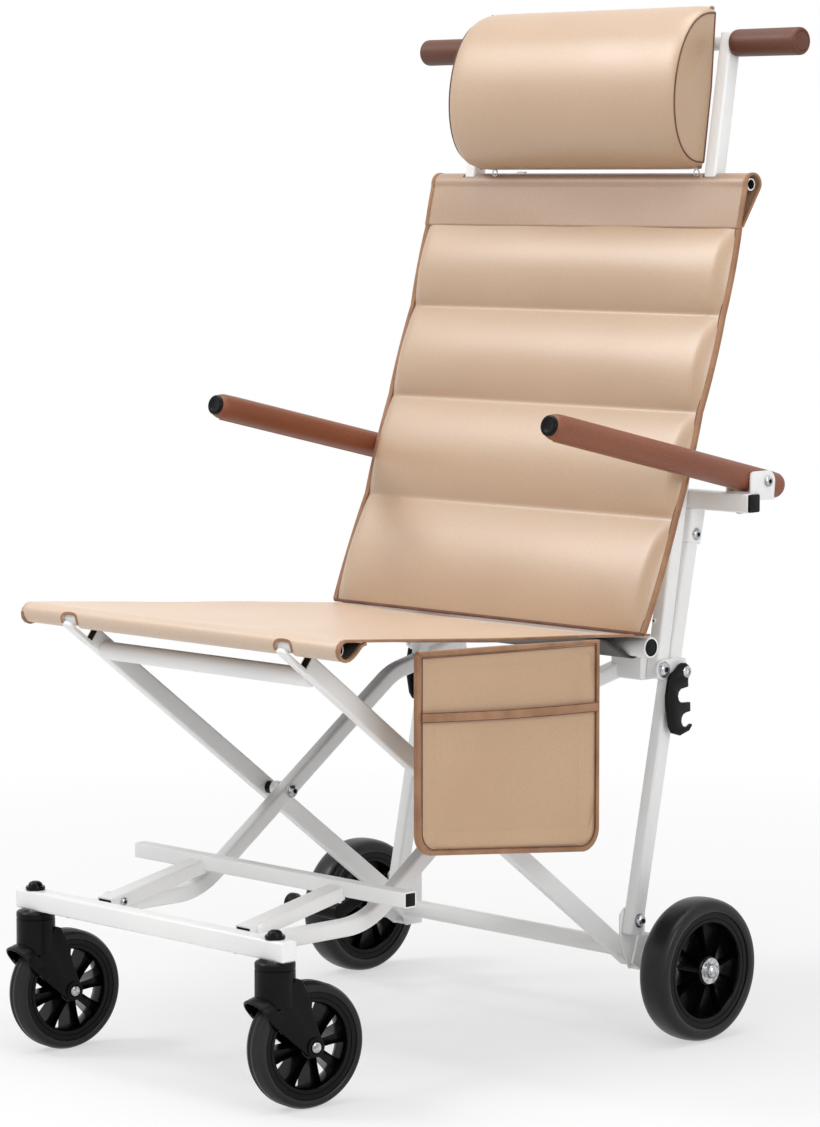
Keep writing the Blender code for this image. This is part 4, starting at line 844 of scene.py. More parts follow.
# %% Legs, brackets, arm supports, catches and brake
for side, sign in SIDES:
    softened("rear_leg_" + side, "rear_leg_fittings_" + side, COAT, "rear_frame", 0.0005)
    softened("rear_bracket_" + side, "rear_bracket_" + side + "_coated", COAT, "seat_frame", 0.0005)
    softened("arm_support_" + side, "arm_support_" + side + "_coated", COAT, "rear_frame", 0.0006)
    softened("catch_plate_" + side, "catch_plate_" + side + "_pressed", GLOSS_NYLON, "catch_" + side, 0.0007)
softened("parking_brake", "parking_brake_moulded", TEXTURED_NYLON, "brake_lever", 0.0006)

# %% [markdown]
# ## Cutting openings
#
# Openings are cut the way a punch would cut them: an object with the opening's shape is taken away from
# the piece with a Boolean modifier, the result is kept as the piece's new mesh, and the punch is
# removed.

# %% Cutting


def cut_away(piece, cutters, several_shells=False):
    """Cut shapes out of a piece and keep the result as its mesh."""
    bpy.context.view_layer.update()
    for cutter in cutters:
        change = piece.modifiers.new("opening", "BOOLEAN")
        change.operation = "DIFFERENCE"
        change.solver = "EXACT"
        change.use_self = several_shells
        change.object = cutter
    result = bpy.data.meshes.new_from_object(piece.evaluated_get(bpy.context.evaluated_depsgraph_get()))
    piece.modifiers.clear()
    piece.data = result
    for cutter in cutters:
        bpy.data.objects.remove(cutter, do_unlink=True)
    return piece


print("cutters are removed after use")

# %% [markdown]
# ## Wheels
#
# Each wheel is a moulded nylon rim with a polyurethane tyre cast round it. The rim has a flat outer
# ring, a hub and eight spokes, and each spoke is a channel: two thin ribs with a valley between them,
# which mould well and look light. Fine grooves run round the caster tyres, while the rear tyres are
# smooth with round shoulders. The rim and the tyre are spun, and one spoke is shaped from a block and
# then copied round.

# %% Spokes


def spoke_mesh(inner, outer, half, hub_width, rim_width):
    """One channel spoke that points up from the hub, as a mesh to copy round."""
    shape = bmesh.new()
    bmesh.ops.create_cube(shape, size=1.0)
    upright_edges = [edge for edge in shape.edges if abs(edge.verts[0].co.z - edge.verts[1].co.z) > 0.5]
    bmesh.ops.subdivide_edges(shape, edges=upright_edges, cuts=5, use_grid_fill=True)
    for vert in shape.verts:
        t = vert.co.z + 0.5
        width = hub_width + (rim_width - hub_width) * t ** 2.6
        vert.co = Vector((vert.co.x * 2 * half, vert.co.y * width, inner + (outer - inner) * t))
    for way in (1.0, -1.0):
        shape.normal_update()
        flat = [face for face in shape.faces if face.normal.x * way > 0.9]
        bmesh.ops.inset_region(shape, faces=flat, thickness=0.0010, use_even_offset=True)
        valley = list({vert for face in flat for vert in face.verts})
        bmesh.ops.translate(shape, vec=(-way * half * 0.86, 0, 0), verts=valley)
    mesh = bpy.data.meshes.new("spoke")
    shape.to_mesh(mesh)
    shape.free()
    return mesh


print("one spoke has", len(spoke_mesh(0.015, 0.055, 0.005, 0.007, 0.010).polygons), "faces")

# %% Rims and tyres
SPOKES = 8


def rim_shape(centre, opening, lip_r, half, hub_half, hub_r, bore, turn, spoke_widths):
    """The moulded rim: outer ring with a stepped lip, hub and channel spokes."""
    shape = bmesh.new()
    face = half * 0.86
    lip = [(face, lip_r), (face, opening + 0.0052), (face - 0.0007, opening + 0.0049),
           (face - 0.0007, opening + 0.0044), (face, opening + 0.0040), (face, opening + 0.0008),
           (face - 0.0008, opening), (half * 0.30, opening - 0.0012)]
    barrel = [(-x, r) for x, r in lip] + lip[::-1]
    lathe(shape, barrel, centre, ring=True, steps=72)
    hub = [(-hub_half, bore), (-hub_half, hub_r - 0.0015), (-hub_half + 0.0012, hub_r),
           (hub_half - 0.0012, hub_r), (hub_half, hub_r - 0.0015), (hub_half, bore)]
    lathe(shape, hub, centre, ring=True, steps=40)
    spoke = spoke_mesh(hub_r - 0.001, opening + 0.0004, half * 0.82, *spoke_widths)
    for i in range(SPOKES):
        before = set(shape.verts)
        shape.from_mesh(spoke)
        fresh = [vert for vert in shape.verts if vert not in before]
        way = Matrix.Rotation(turn + 2 * pi * i / SPOKES, 3, "X")
        bmesh.ops.rotate(shape, cent=(0, 0, 0), matrix=way, verts=fresh)
        bmesh.ops.translate(shape, vec=centre, verts=fresh)
    return shape


def tyre_shape(centre, radius, lip_r, half, grooves):
    """The tyre: round shoulders, a thin line at the rim and, on casters, fine grooves in the tread."""
    side = [(half * 0.86, lip_r + 0.0002), (half * 0.93, lip_r + 0.0004), (half * 0.985, lip_r + 0.0016),
            (half, lip_r + 0.0040), (half * 0.985, radius - 0.30 * half), (half * 0.90, radius - 0.19 * half),
            (half * 0.74, radius - 0.09 * half), (half * 0.52, radius - 0.035 * half),
            (half * 0.28, radius - 0.010 * half)]
    if grooves:
        cut = 0.0006
        side = side[:7] + [(half * 0.60 * k / grooves, radius - (0.0 if k % 2 else cut))
                           for k in range(grooves - 1, 0, -1)]
    profile = [(-x, r) for x, r in side] + [(0.0, radius)] + side[::-1]
    shape = bmesh.new()
    lathe(shape, profile, centre, ring=True, steps=96)
    return shape


REAR_WHEEL_X = 0.256
REAR_WHEEL_R = 0.0755
REAR_AXLE = (0.202, REAR_WHEEL_R)
for side, sign in SIDES:
    centre = (sign * REAR_WHEEL_X, *REAR_AXLE)
    wheel = "rear_wheel_" + side
    rim = rim_shape(centre, opening=0.0502, lip_r=0.0610, half=0.018, hub_half=0.0163, hub_r=0.0150,
                    bore=0.0056, turn=radians(18), spoke_widths=(0.0078, 0.0140))
    make_piece(rim, "rear_rim_" + side, GLOSS_NYLON, wheel, (wheel + "_rim",))
    tyre = tyre_shape(centre, REAR_WHEEL_R, lip_r=0.0612, half=0.018, grooves=0)
    make_piece(tyre, "rear_tyre_" + side, TYRE, wheel, (wheel + "_tyre",))
print("rear wheel diameter:", 2 * REAR_WHEEL_R)

# %% Caster wheels and their swivel
CASTER_X = 0.183
CASTER_TRAIL = 0.0345
CASTER_R = 0.0625
CASTER_TURN = {"left": radians(-8.5), "right": radians(-6.0)}
CASTER_AXLE = (BEAM[0] + CASTER_TRAIL, CASTER_R)


def turned_caster(shape, side, sign):
    """Turn a caster's piece about its stem, as the two casters stand in the photograph."""
    turn = Matrix.Rotation(CASTER_TURN[side], 3, "Z")
    bmesh.ops.rotate(shape, cent=(sign * CASTER_X, BEAM[0], 0), matrix=turn, verts=shape.verts)
    return shape


for side, sign in SIDES:
    centre = (sign * CASTER_X, *CASTER_AXLE)
    wheel = "caster_wheel_" + side
    rim = rim_shape(centre, opening=0.0428, lip_r=0.0528, half=0.0132, hub_half=0.0123, hub_r=0.0125,
                    bore=0.0046, turn=radians(8), spoke_widths=(0.0088, 0.0152))
    make_piece(turned_caster(rim, side, sign), "caster_rim_" + side, GLOSS_NYLON, wheel, (wheel + "_rim",))
    tyre = tyre_shape(centre, CASTER_R, lip_r=0.0530, half=0.0132, grooves=6)
    make_piece(turned_caster(tyre, side, sign), "caster_tyre_" + side, TYRE, wheel, (wheel + "_tyre",))
print("caster diameter:", 2 * CASTER_R)

# %% [markdown]
# ## Bolts, washers and nuts
#
# A button head bolt is a dome with a socket in its middle, usually on a washer. It is spun from one
# profile, and the faces inside the socket get a dark grey that is painted shade. The rear axle ends in a
# dished washer and a domed nut. These are the only bright points on the white frame, so they are given
# real fillets that catch the light.

# %% Button heads
DOME = ((0.0, 0.0), (0.0, 1.0), (0.30, 1.0), (0.62, 0.90), (0.88, 0.70), (1.0, 0.48), (0.96, 0.43),
        (0.35, 0.40), (0.35, 0.0))


def button_head(name, centre, sign, radius, height, body, washer=0.0, stands_for=(), finish=ZINC,
                axis=X_AXIS):
    """A domed head with a socket, facing along or against the axis, on a washer where one is given."""
    base = 0.0009 if washer else 0.0
    profile = [(base + height * x, radius * r) for x, r in DOME]
    shape = bmesh.new()
    if washer:
        ring = rounded_profile(rod(0.0, base, washer), 0.0003, 2)
        lathe(shape, mirrored(ring, sign), centre, steps=32, axis=axis)
    lathe(shape, mirrored(profile, sign), centre, steps=32, axis=axis)
    # The faces inside the socket take the painted shade material.
    for face in shape.faces:
        arm = face.calc_center_median() - Vector(centre)
        if (arm - axis * arm.dot(axis)).length < radius * 0.42:
            face.material_index = 1
    return make_piece(shape, name, finish, body, stands_for, SHADOW, crisp=30)


for side, sign in SIDES:
    bolts = (("scissor", (sign * 0.1683, *PIVOT), 0.0066, 0.0042, "seat_frame", 0.0082, "scissor_bolt_"),
             ("foot_hinge", (sign * 0.1871, *LEG_FOOT), 0.0062, 0.0045, "seat_frame", 0.0078,
              "frame_hinge_bolt_"),
             ("catch", (sign * 0.1900, *CATCH), 0.0072, 0.0036, "rear_frame", 0.0088, "catch_bolt_"),
             ("armrest", (sign * 0.2677, *ARM_PIVOT), 0.0058, 0.0032, "rear_frame", 0.0, "armrest_bolt_"))
    for name, centre, radius, height, body, washer, node in bolts:
        button_head(name + "_head_" + side, centre, sign, radius, height, body, washer, (node + side,))
    button_head("scissor_nut_" + side, (sign * 0.1197, *PIVOT), -sign, 0.0062, 0.0046, "seat_frame", 0.0078)
    button_head("armrest_nut_" + side, (sign * 0.2323, *ARM_PIVOT), -sign, 0.0052, 0.0030, "rear_frame")
    button_head("footrest_head_" + side, (sign * 0.0944, *FOOT_HINGE), -sign, 0.0044, 0.0028, "front_frame",
                stands_for=("footrest_bolt_" + side,))
    button_head("catch_rivet_" + side, (sign * 0.1976, 0.2480, 0.3795), sign, 0.0062, 0.0018, "rear_frame")
    button_head("sleeve_bolt_" + side, (sign * 0.1886, 0.2715, 0.5237), sign, 0.0056, 0.0026, "rear_frame",
                0.0068)
    button_head("arm_tube_screw_" + side, (sign * 0.249, ARM_TUBE[0], 0.5512), -1.0, 0.0046, 0.0022,
                "rear_frame", axis=Z_AXIS)
    button_head("beam_screw_" + side, (sign * SCISSOR_X, BEAM[0], 0.1502), -1.0, 0.0046, 0.0022,
                "front_frame", finish=GLOSS_NYLON, axis=Z_AXIS)
    button_head("upright_rivet_" + side, (sign * 0.1745, 0.2213, 0.434), -1.0, 0.0030, 0.0012, "rear_frame",
                finish=COAT, axis=Y_AXIS)

# %% Spacers, axles and caster hardware
AXLE_FACE_X = 0.2728
collar = rounded_profile(rod(0.1363, 0.1468, 0.0080), 0.0008, 2)
axle_end = rounded_profile([(0.0, 0.0), (0.0, 0.0138), (0.0016, 0.0138), (0.0010, 0.0090), (0.0010, 0.0078),
                            (0.0052, 0.0074), (0.0078, 0.0048), (0.0086, 0.0)], 0.0012, 3)
boss = rounded_profile([(-0.002, 0.0), (-0.002, 0.0098), (0.0022, 0.0098), (0.0022, 0.0066), (0.0008, 0.0062),
                        (0.0008, 0.0)], 0.0008, 2)
axle_head = rounded_profile([(0.0006, 0.0), (0.0006, 0.0056), (0.0030, 0.0054), (0.0040, 0.0036),
                             (0.0040, 0.0)], 0.0008, 3)
for side, sign in SIDES:
    turned("scissor_spacer_" + side, mirrored(rod(0.1470, 0.1557, 0.0068), sign), (0, *PIVOT), TEXTURED_NYLON,
           "seat_frame", steps=32)
    turned("scissor_collar_" + side + "_coated", mirrored(collar, sign), (0, *PIVOT), COAT, "seat_frame",
           steps=32)
    shape = bmesh.new()
    lathe(shape, mirrored(axle_end, sign), (sign * AXLE_FACE_X, *REAR_AXLE), steps=36)
    lathe(shape, mirrored(rod(0.2200, 0.2727, 0.0052), sign), (0, *REAR_AXLE), steps=24)
    make_piece(shape, "rear_axle_" + side + "_plated", ZINC, "seat_frame", ("rear_axle_" + side,), crisp=30)
    for way, name in ((1.0, "outer"), (-1.0, "inner")):
        centre = Vector((sign * CASTER_X + way * 0.0181, *CASTER_AXLE))
        shape = bmesh.new()
        lathe(shape, mirrored(boss, way), centre, steps=24)
        make_piece(turned_caster(shape, side, sign), "fork_boss_" + name + "_" + side, TEXTURED_NYLON,
                   "caster_" + side)
        shape = bmesh.new()
        lathe(shape, mirrored(axle_head, way), centre, steps=28)
        stands_for = ("caster_axle_" + side,) if name == "outer" else ()
        make_piece(turned_caster(shape, side, sign), "caster_axle_head_" + name + "_" + side, ZINC,
                   "caster_" + side, stands_for)
print("caster axle heads are", round(2000 * max(radius for _, radius in axle_head), 1), "mm across")

# %% [markdown]
# ## Caster caps, collars and forks
#
# Over the beam a rubber cap covers each caster's nut. Under the beam a steel collar shows between the
# beam and the fork. The fork is one moulding: a round housing for the stem, two cheeks that reach down
# to the axle, and a thin hood over the tyre's front. The cheeks are one block with their outline, from
# which the wheel's room is cut. The hood is swept from a flat section along an arch that ends in the
# cheeks' front edges.

# %% Caster caps and stem collars
CAP = [(0.0003, 0.0), (0.0003, 0.0098), (0.0022, 0.0102), (0.0040, 0.0096), (0.0042, 0.0078),
       (0.0072, 0.0066), (0.0088, 0.0040), (0.0092, 0.0)]
for side, sign in SIDES:
    x = sign * CASTER_X
    turned("caster_cap_" + side + "_rubber", CAP, (x, BEAM[0], 0.170), GLOSS_NYLON, "front_frame",
           ("caster_cap_" + side,), steps=36, axis=Z_AXIS)
    shape = bmesh.new()
    lathe(shape, rod(0.0, 0.0016, 0.0085), (x, BEAM[0], 0.1484), steps=32, axis=Z_AXIS)
    make_piece(turned_caster(shape, side, sign), "stem_collar_" + side, ZINC, "caster_" + side)
print("caps are", 2 * max(radius for _, radius in CAP), "m across")

# %% Caster forks
CHEEK_OUT = 0.0186
CHEEK_END_R = 0.0108
HOUSING = [(0.1040, 0.0), (0.1040, 0.0190), (0.1052, 0.0201), (0.1405, 0.0200), (0.1410, 0.0192),
           (0.1418, 0.0192), (0.1423, 0.0200), (0.1470, 0.0200), (0.1483, 0.0188), (0.1483, 0.0)]
HALF_ARCH = [(0.0172, -0.0060, 0.0905), (0.0180, -0.0118, 0.0968), (0.0178, -0.0168, 0.1033),
             (0.0148, -0.0205, 0.1083), (0.0078, -0.0238, 0.1118)]
CHEEK_LINE = [(0.0117, 0.1328), (0.0193, 0.1306), (0.0265, 0.1175), (0.0338, 0.0920), (0.0407, 0.0739)]
CHEEK_LINE += [(CASTER_TRAIL + CHEEK_END_R * cos(radians(turn)), CASTER_R + CHEEK_END_R * sin(radians(turn)))
               for turn in range(35, -140, -20)]
CHEEK_LINE += [(0.0074, 0.0709), (-0.0117, 0.0881), (-0.0186, 0.0963), (-0.0150, 0.1010), (-0.0041, 0.1042),
               (0.0035, 0.1130), (0.0080, 0.1240)]


def smooth_path(points, steps):
    """Points on a smooth curve through the given ones."""
    points = [Vector(point) for point in points]
    ends = [points[0] * 2 - points[1]] + points + [points[-1] * 2 - points[-2]]
    path = []
    for a, b, c, d in zip(ends, ends[1:], ends[2:], ends[3:]):
        for i in range(steps):
            t = i / steps
            path.append(0.5 * (2 * b + (c - a) * t + (2 * a - 5 * b + 4 * c - d) * t * t
                               + (3 * b - a - 3 * c + d) * t ** 3))
    path.append(points[-1])
    return path


def to_stem(shape, side, sign):
    """Move a piece that was drawn round the origin to its caster's stem, and turn it with the caster."""
    bmesh.ops.translate(shape, vec=(sign * CASTER_X, BEAM[0], 0), verts=shape.verts)
    return turned_caster(shape, side, sign)


def cheeks():
    """The fork's cheeks, still one block, with the stem's housing on top."""
    shape = bmesh.new()
    cheek = shape.faces.new([shape.verts.new((-CHEEK_OUT, y, z)) for y, z in CHEEK_LINE])
    other = extruded(shape, cheek, keep=True)
    bmesh.ops.translate(shape, vec=(2 * CHEEK_OUT, 0, 0), verts=other.verts)
    bmesh.ops.recalc_face_normals(shape, faces=shape.faces)
    rounded(shape, [edge for edge in shape.edges if edge.calc_face_angle() > radians(70)], 0.0014, 3)
    lathe(shape, HOUSING, (0, 0, 0), steps=48, axis=Z_AXIS)
    return shape


arch = HALF_ARCH + [(0.0, -0.0248, 0.1128)] + [(-x, y, z) for x, y, z in HALF_ARCH[::-1]]
for side, sign in SIDES:
    fork = make_piece(to_stem(cheeks(), side, sign), "caster_fork_" + side + "_moulded", TEXTURED_NYLON,
                      "caster_" + side, ("caster_fork_" + side,))
    shape = bmesh.new()
    lathe(shape, rod(-0.0146, 0.0146, 0.0655), (0, CASTER_TRAIL, CASTER_R), steps=72)
    bmesh.ops.translate(shape, vec=(0, CHAIR_SHIFT, 0), verts=to_stem(shape, side, sign).verts)
    cut_away(fork, [linked_object(shape, "wheel_room")], True).data.set_sharp_from_angle(angle=radians(38))
    shape = bmesh.new()
    sweep(shape, square_section(shape, 0.0125, 0.0024, 0.0011), smooth_path(arch, 6), Vector((0, 0.95, 0.30)))
    make_piece(to_stem(shape, side, sign), "fork_hood_" + side, TEXTURED_NYLON, "caster_" + side)
print("fork cheeks stand", 2 * CHEEK_OUT, "m apart outside")

# %% [markdown]
# ## Push grips and arm covers
#
# The push grips and the armrests are tubes with a padded cover of brown leatherette. A grip ends in a
# flat disc with a ring groove. An arm cover is rounded at both ends, has a seam along its underside and
# a black cap at its front end.

# %% Grips
GRIP_R = 0.0145
GRIP_END_X = 0.2780
grip = [(0.1869, 0.0), (0.1869, GRIP_R - 0.0022), (0.1884, GRIP_R - 0.0004), (0.1925, GRIP_R),
        (0.2738, GRIP_R + 0.0002), (0.2764, GRIP_R - 0.0002), (0.2778, GRIP_R - 0.0018), (0.2778, 0.0112),
        (0.2769, 0.0107), (0.2769, 0.0101), (0.2777, 0.0096), (GRIP_END_X, 0.0)]
for side, sign in SIDES:
    piece = turned("push_grip_" + side + "_cover", mirrored(rounded_profile(grip, 0.0010, 3), sign),
                   (0, *HANDLE), GRIP_BROWN, "rear_frame", ("push_grip_" + side,), crisp=40)
print("grips end at x =", GRIP_END_X)

# %% Arm covers, with black caps and plugs
ARM_X = 0.250
ARM_R = 0.0140
ARM_TILT = radians(12.8)
ARM_ALONG = Vector((0, -cos(ARM_TILT), sin(ARM_TILT)))
ARM_UNDER = Vector((0, -sin(ARM_TILT), -cos(ARM_TILT)))
cover = [(-0.036, 0.0), (-0.036, 0.0095), (-0.0345, 0.0122), (-0.0310, 0.0137), (-0.020, ARM_R),
         (0.300, ARM_R), (0.3150, 0.0136), (0.3200, 0.0120), (0.3220, 0.0100), (0.3220, 0.0)]
arm_cap = [(0.3215, 0.0), (0.3215, 0.0108), (0.3240, 0.0108), (0.3252, 0.0098), (0.3252, 0.0062),
           (0.3243, 0.0056), (0.3243, 0.0)]
for side, sign in SIDES:
    arm = "armrest_" + side
    pivot = Vector((sign * ARM_X, *ARM_PIVOT))
    piece = turned(arm + "_cover", rounded_profile(cover, 0.0025, 4), pivot, BROWN, arm, (arm + "_grip",),
                   axis=ARM_ALONG)
    turned("armrest_cap_" + side + "_moulded", rounded_profile(arm_cap, 0.0006, 2), pivot, GLOSS_NYLON, arm,
           ("armrest_cap_" + side,), steps=36, axis=ARM_ALONG)
    seam = [pivot + ARM_ALONG * reach + ARM_UNDER * (ARM_R - 0.0001) for reach in (-0.030, 0.1, 0.2, 0.314)]
    cord("armrest_seam_" + side, seam, X_AXIS, 0.0009, 8, TAPE, arm)
    tube("arm_tube_plug_" + side, (0.0168, 0.0188, 0.0018), bar_path(sign * 0.2662, sign * 0.2694, *ARM_TUBE),
         Y_AXIS, "rear_frame", finish=GLOSS_NYLON, rim=0.0006)
print("arm covers are", 2 * ARM_R, "m thick")

# %% [markdown]
# ## Sheets
#
# The seat and the back's top band are sheets of leatherette. A sheet starts as a flat grid with a point
# every few millimetres. Each point is then laid in place by a rule that says where the cloth lies at
# that spot, and the sheet is given its thickness with Solidify. Seams and bindings are separate strips
# that follow the same rule, so they stay on the cloth.

# %% Sheet helpers


def laid_sheet(name, columns, rows, rule, thick, finish, body=None, backing=None):
    """A grid laid in place by rule(u, v), with a thickness and, if given, another material behind."""
    shape = bmesh.new()
    bmesh.ops.create_grid(shape, x_segments=columns, y_segments=rows, size=0.5)
    for vert in shape.verts:
        vert.co = rule(vert.co.x + 0.5, vert.co.y + 0.5)
    piece = make_piece(shape, name, finish, body, inside=backing, crisp=60)
    wall = piece.modifiers.new("cloth_thickness", "SOLIDIFY")
    wall.material_offset = 1 if backing else 0
    wall.thickness = thick
    wall.offset = 0.0
    wall.use_even_offset = True
    return piece


def strip(name, points, side, width, thick, finish, body=None, corner=0.0008):
    """A tape or tube of cloth swept along a line."""
    shape = bmesh.new()
    sweep(shape, square_section(shape, width, thick, corner), points, side)
    return make_piece(shape, name, finish, body, crisp=50)


print("a sheet of 40 x 60 has", 41 * 61, "points")

# %% [markdown]
# ## Padding that swells
#
# Foam pushes its cover outwards until the seams stop it. Blender's cloth simulation does the same: the
# closed cover is put under pressure with gravity off, while the points on its seams are pinned. After
# twenty steps the result is read back, and no point may move further than a given cap, so the pad can't
# leave its room. A share of spare cloth makes the cover a little larger than its pattern, which lets it
# pucker beside the seams.

# %% Cloth simulation


def swell(shape, is_sewn, pressure, cap, spare=0.0, steps=20):
    """Blow a closed cover up under pressure, with its sewn points pinned, and give its shape back."""
    mesh = bpy.data.meshes.new("cover")
    shape.to_mesh(mesh)
    cover = bpy.data.objects.new("cover", mesh)
    bpy.context.scene.collection.objects.link(cover)
    shape.verts.ensure_lookup_table()
    sewn = cover.vertex_groups.new(name="sewn")
    sewn.add([vert.index for vert in shape.verts if is_sewn(vert.co)], 1.0, "REPLACE")
    change = cover.modifiers.new("cloth", "CLOTH")
    change.settings.vertex_group_mass = "sewn"
    change.settings.quality = 6
    change.settings.mass = 0.25
    change.settings.tension_stiffness = 25.0
    change.settings.compression_stiffness = 25.0
    change.settings.bending_stiffness = 1.5
    change.settings.shrink_min = -spare
    change.settings.use_pressure = True
    change.settings.uniform_pressure_force = pressure
    change.settings.effector_weights.gravity = 0.0
    change.collision_settings.use_collision = False
    change.point_cache.frame_start = 1
    change.point_cache.frame_end = steps
    for step in range(1, steps + 1):
        bpy.context.scene.frame_set(step)
    swollen = cover.evaluated_get(bpy.context.evaluated_depsgraph_get())
    farthest = 0.0
    for vert, moved in zip(shape.verts, swollen.data.vertices):
        travel = moved.co - vert.co
        farthest = max(farthest, travel.length)
        vert.co += travel * min(1.0, cap / max(travel.length, 1e-9))
    bpy.data.objects.remove(cover, do_unlink=True)
    bpy.context.scene.frame_set(1)
    print("the cover swelled by up to", round(farthest * 1000, 1), "mm, capped at", cap * 1000)
    return shape


def smoothed(piece):
    """Add one live subdivision, the same in the viewport and the render."""
    change = piece.modifiers.new("smoothing", "SUBSURF")
    change.levels = 1
    change.render_levels = 1
    return piece



# %% [markdown]
# ## The seat
#
# The seat is one long sheet. At the front it is turned over the rail and sewn back on itself, which
# makes the round sleeve along the front edge, and the ends of that sleeve are left open like a drop.
# Between the rails it sags a little under its own tension. The side edges are bound with brown tape.
# Two rounded openings in the sleeve let the frame's tongues reach the rail, and each has a brown edge.
# Under its rear edge a loop in the dark backing goes round the rear tube; its near black is partly
# painted shade.

# %% Where the seat lies
SLEEVE_R = 0.0098
SEAM_BACK = 0.026
SEAT_FRONT = (RAIL.y, RAIL.z + SLEEVE_R)
SEAT_REAR = (0.168, 0.4265)
SEAT_FRONT_HALF = 0.239
SEAT_REAR_HALF = 0.2145


def seat_half(v):
    """Half the seat's width at v, from 0 at the front rail to 1 at the rear tube."""
    return SEAT_FRONT_HALF + (SEAT_REAR_HALF - SEAT_FRONT_HALF) * max(v, 0.0) ** 3


def seat_top(across, v):
    """A point of the seat's top: across from -1 to 1, v from 0 at the front to 1 at the rear."""
    y = SEAT_FRONT[0] + (SEAT_REAR[0] - SEAT_FRONT[0]) * v
    sag = 0.012 * (1 - across ** 4) * sin(pi * v) ** 0.8 if v > 0 else 0.0
    x = across * seat_half(v)
    pull = noise.noise(Vector((x * 22.0 + y * 6.0, y * 5.0, 0.3)))
    pull *= 0.0018 * sin(pi * min(max(v, 0.0), 1.0))
    return Vector((x, y, SEAT_FRONT[1] + (SEAT_REAR[1] - SEAT_FRONT[1]) * v - sag + pull))


def on_circle(x, middle, radius, turn):
    """A point at x on a circle about a (y, z) middle, at an angle from +Y."""
    return Vector((x, middle[0] + radius * cos(turn), middle[1] + radius * sin(turn)))


def seat_profile(across, s):
    """The whole sheet: s from 0 at the hidden seam, round the rail, to 1 at the rear tube."""
    seam_share, loop_share = 0.10, 0.20
    half = across * SEAT_FRONT_HALF
    rail = (RAIL.y, RAIL.z)
    low_angle = radians(-68)
    if s < seam_share:
        t = s / seam_share
        seam = Vector((half, RAIL.y + SEAM_BACK, seat_top(across, 0.075).z - 0.0022))
        low = on_circle(half, rail, SLEEVE_R, low_angle)
        near_seam = seam - Vector((0, 0.009, 0.0004))
        near_low = low + Vector((0, 0.0125, 0.0050))
        return (seam * (1 - t) ** 3 + near_seam * 3 * t * (1 - t) ** 2 + near_low * 3 * t * t * (1 - t)
                + low * t ** 3)
    if s < loop_share:
        turn = low_angle - (s - seam_share) / (loop_share - seam_share) * (low_angle + radians(270))
        return on_circle(half, rail, SLEEVE_R, turn)
    return seat_top(across, (s - loop_share) / (1 - loop_share))


print("front of the sleeve:", [round(part, 4) for part in seat_profile(0.0, 0.15)])

# %% The seat's sheet, cut out for the tongues


def seat_rule(u, v):
    """Lays the grid with more of its rows round the sleeve."""
    s = 0.30 * (v / 0.45) if v < 0.45 else 0.30 + 0.70 * (v - 0.45) / 0.55
    return seat_profile(2 * u - 1, s)


def notch_cutter(x, y, z, width, deep, high, corner):
    """An upright block with a round top, used to cut an opening."""
    shape = bmesh.new()
    turn = Matrix((X_AXIS, Z_AXIS, -Y_AXIS)).transposed().to_4x4()
    slab(shape, Matrix.Translation((x, y + deep / 2, z)) @ turn, high, width, deep, corner, 0.0002)
    bmesh.ops.translate(shape, vec=(0, CHAIR_SHIFT, 0), verts=shape.verts)
    return linked_object(shape, "opening_cutter")


NOTCH_HIGH = 0.030
NOTCH_Z = RAIL.z + 0.0040 - NOTCH_HIGH
seat = laid_sheet("seat_sheet", 96, 90, seat_rule, 0.0017, SEAT_BEIGE_PAINTED_LIGHT, backing=BACKING_PAINTED_SHADE)
# The seat's underside takes the dark backing, which is partly painted shade.
cutters = [notch_cutter(sign * SEAT_TUBE_X, RAIL.y - 0.008, NOTCH_Z, width=0.0225, deep=0.026,
                        high=NOTCH_HIGH, corner=0.0075) for sign in (1.0, -1.0)]
seat = cut_away(seat, cutters)
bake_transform(seat)
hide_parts("seat_sling")
print("seat sheet points:", len(seat.data.vertices))

# %% Seat binding, rear sleeve and opening edges
REAR_SLEEVE_HALF = 0.190
REAR_SLEEVE_R = 0.0128
for side, sign in SIDES:
    line = [seat_profile(sign * 1.0, s / 70) for s in range(71)]
    if side == "right":
        line = [point + Vector((0.001, 0, -0.0014)) for point in line]
    edge = strip("seat_binding_" + side, line, X_AXIS, 0.0052, 0.0028, TAPE)
    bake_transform(edge)
    notch = []
    for k in range(13):
        turn = pi * k / 12
        across = (1 if cos(turn) > 0 else -1) * abs(cos(turn)) ** 0.6 * 0.0124
        rise = max(sin(turn), 0.0) ** 0.6 * 0.0108 - 0.0056
        reach = sqrt(max((SLEEVE_R + 0.0011) ** 2 - rise ** 2, 0.0))
        notch.append((sign * SEAT_TUBE_X + across, RAIL.y - reach, RAIL.z + rise))
    strip("opening_edge_" + side, notch, Y_AXIS, 0.0012, 0.0030, TAPE, "seat_frame", 0.0005)


def rear_sleeve_rule(u, v):
    """A loop under the seat's rear edge, round the rear tube."""
    x = (2 * u - 1) * REAR_SLEEVE_HALF
    loop_share = 0.6
    start, end = radians(105), radians(-110)
    if v < loop_share:
        return on_circle(x, SEAT_BACK, REAR_SLEEVE_R, start + (end - start) * v / loop_share)
    stop = Vector((x, SEAT_BACK[0] - 0.045, 0.4235))
    return on_circle(x, SEAT_BACK, REAR_SLEEVE_R, end).lerp(stop, (v - loop_share) / (1 - loop_share))


# The rear loop is all in the dark backing, painted shade where the rear tube lies in shadow.
rear_sleeve = laid_sheet("seat_rear_sleeve", 40, 30, rear_sleeve_rule, 0.0016, BACKING_PAINTED_SHADE, "front_frame")
print("seat edges bound")

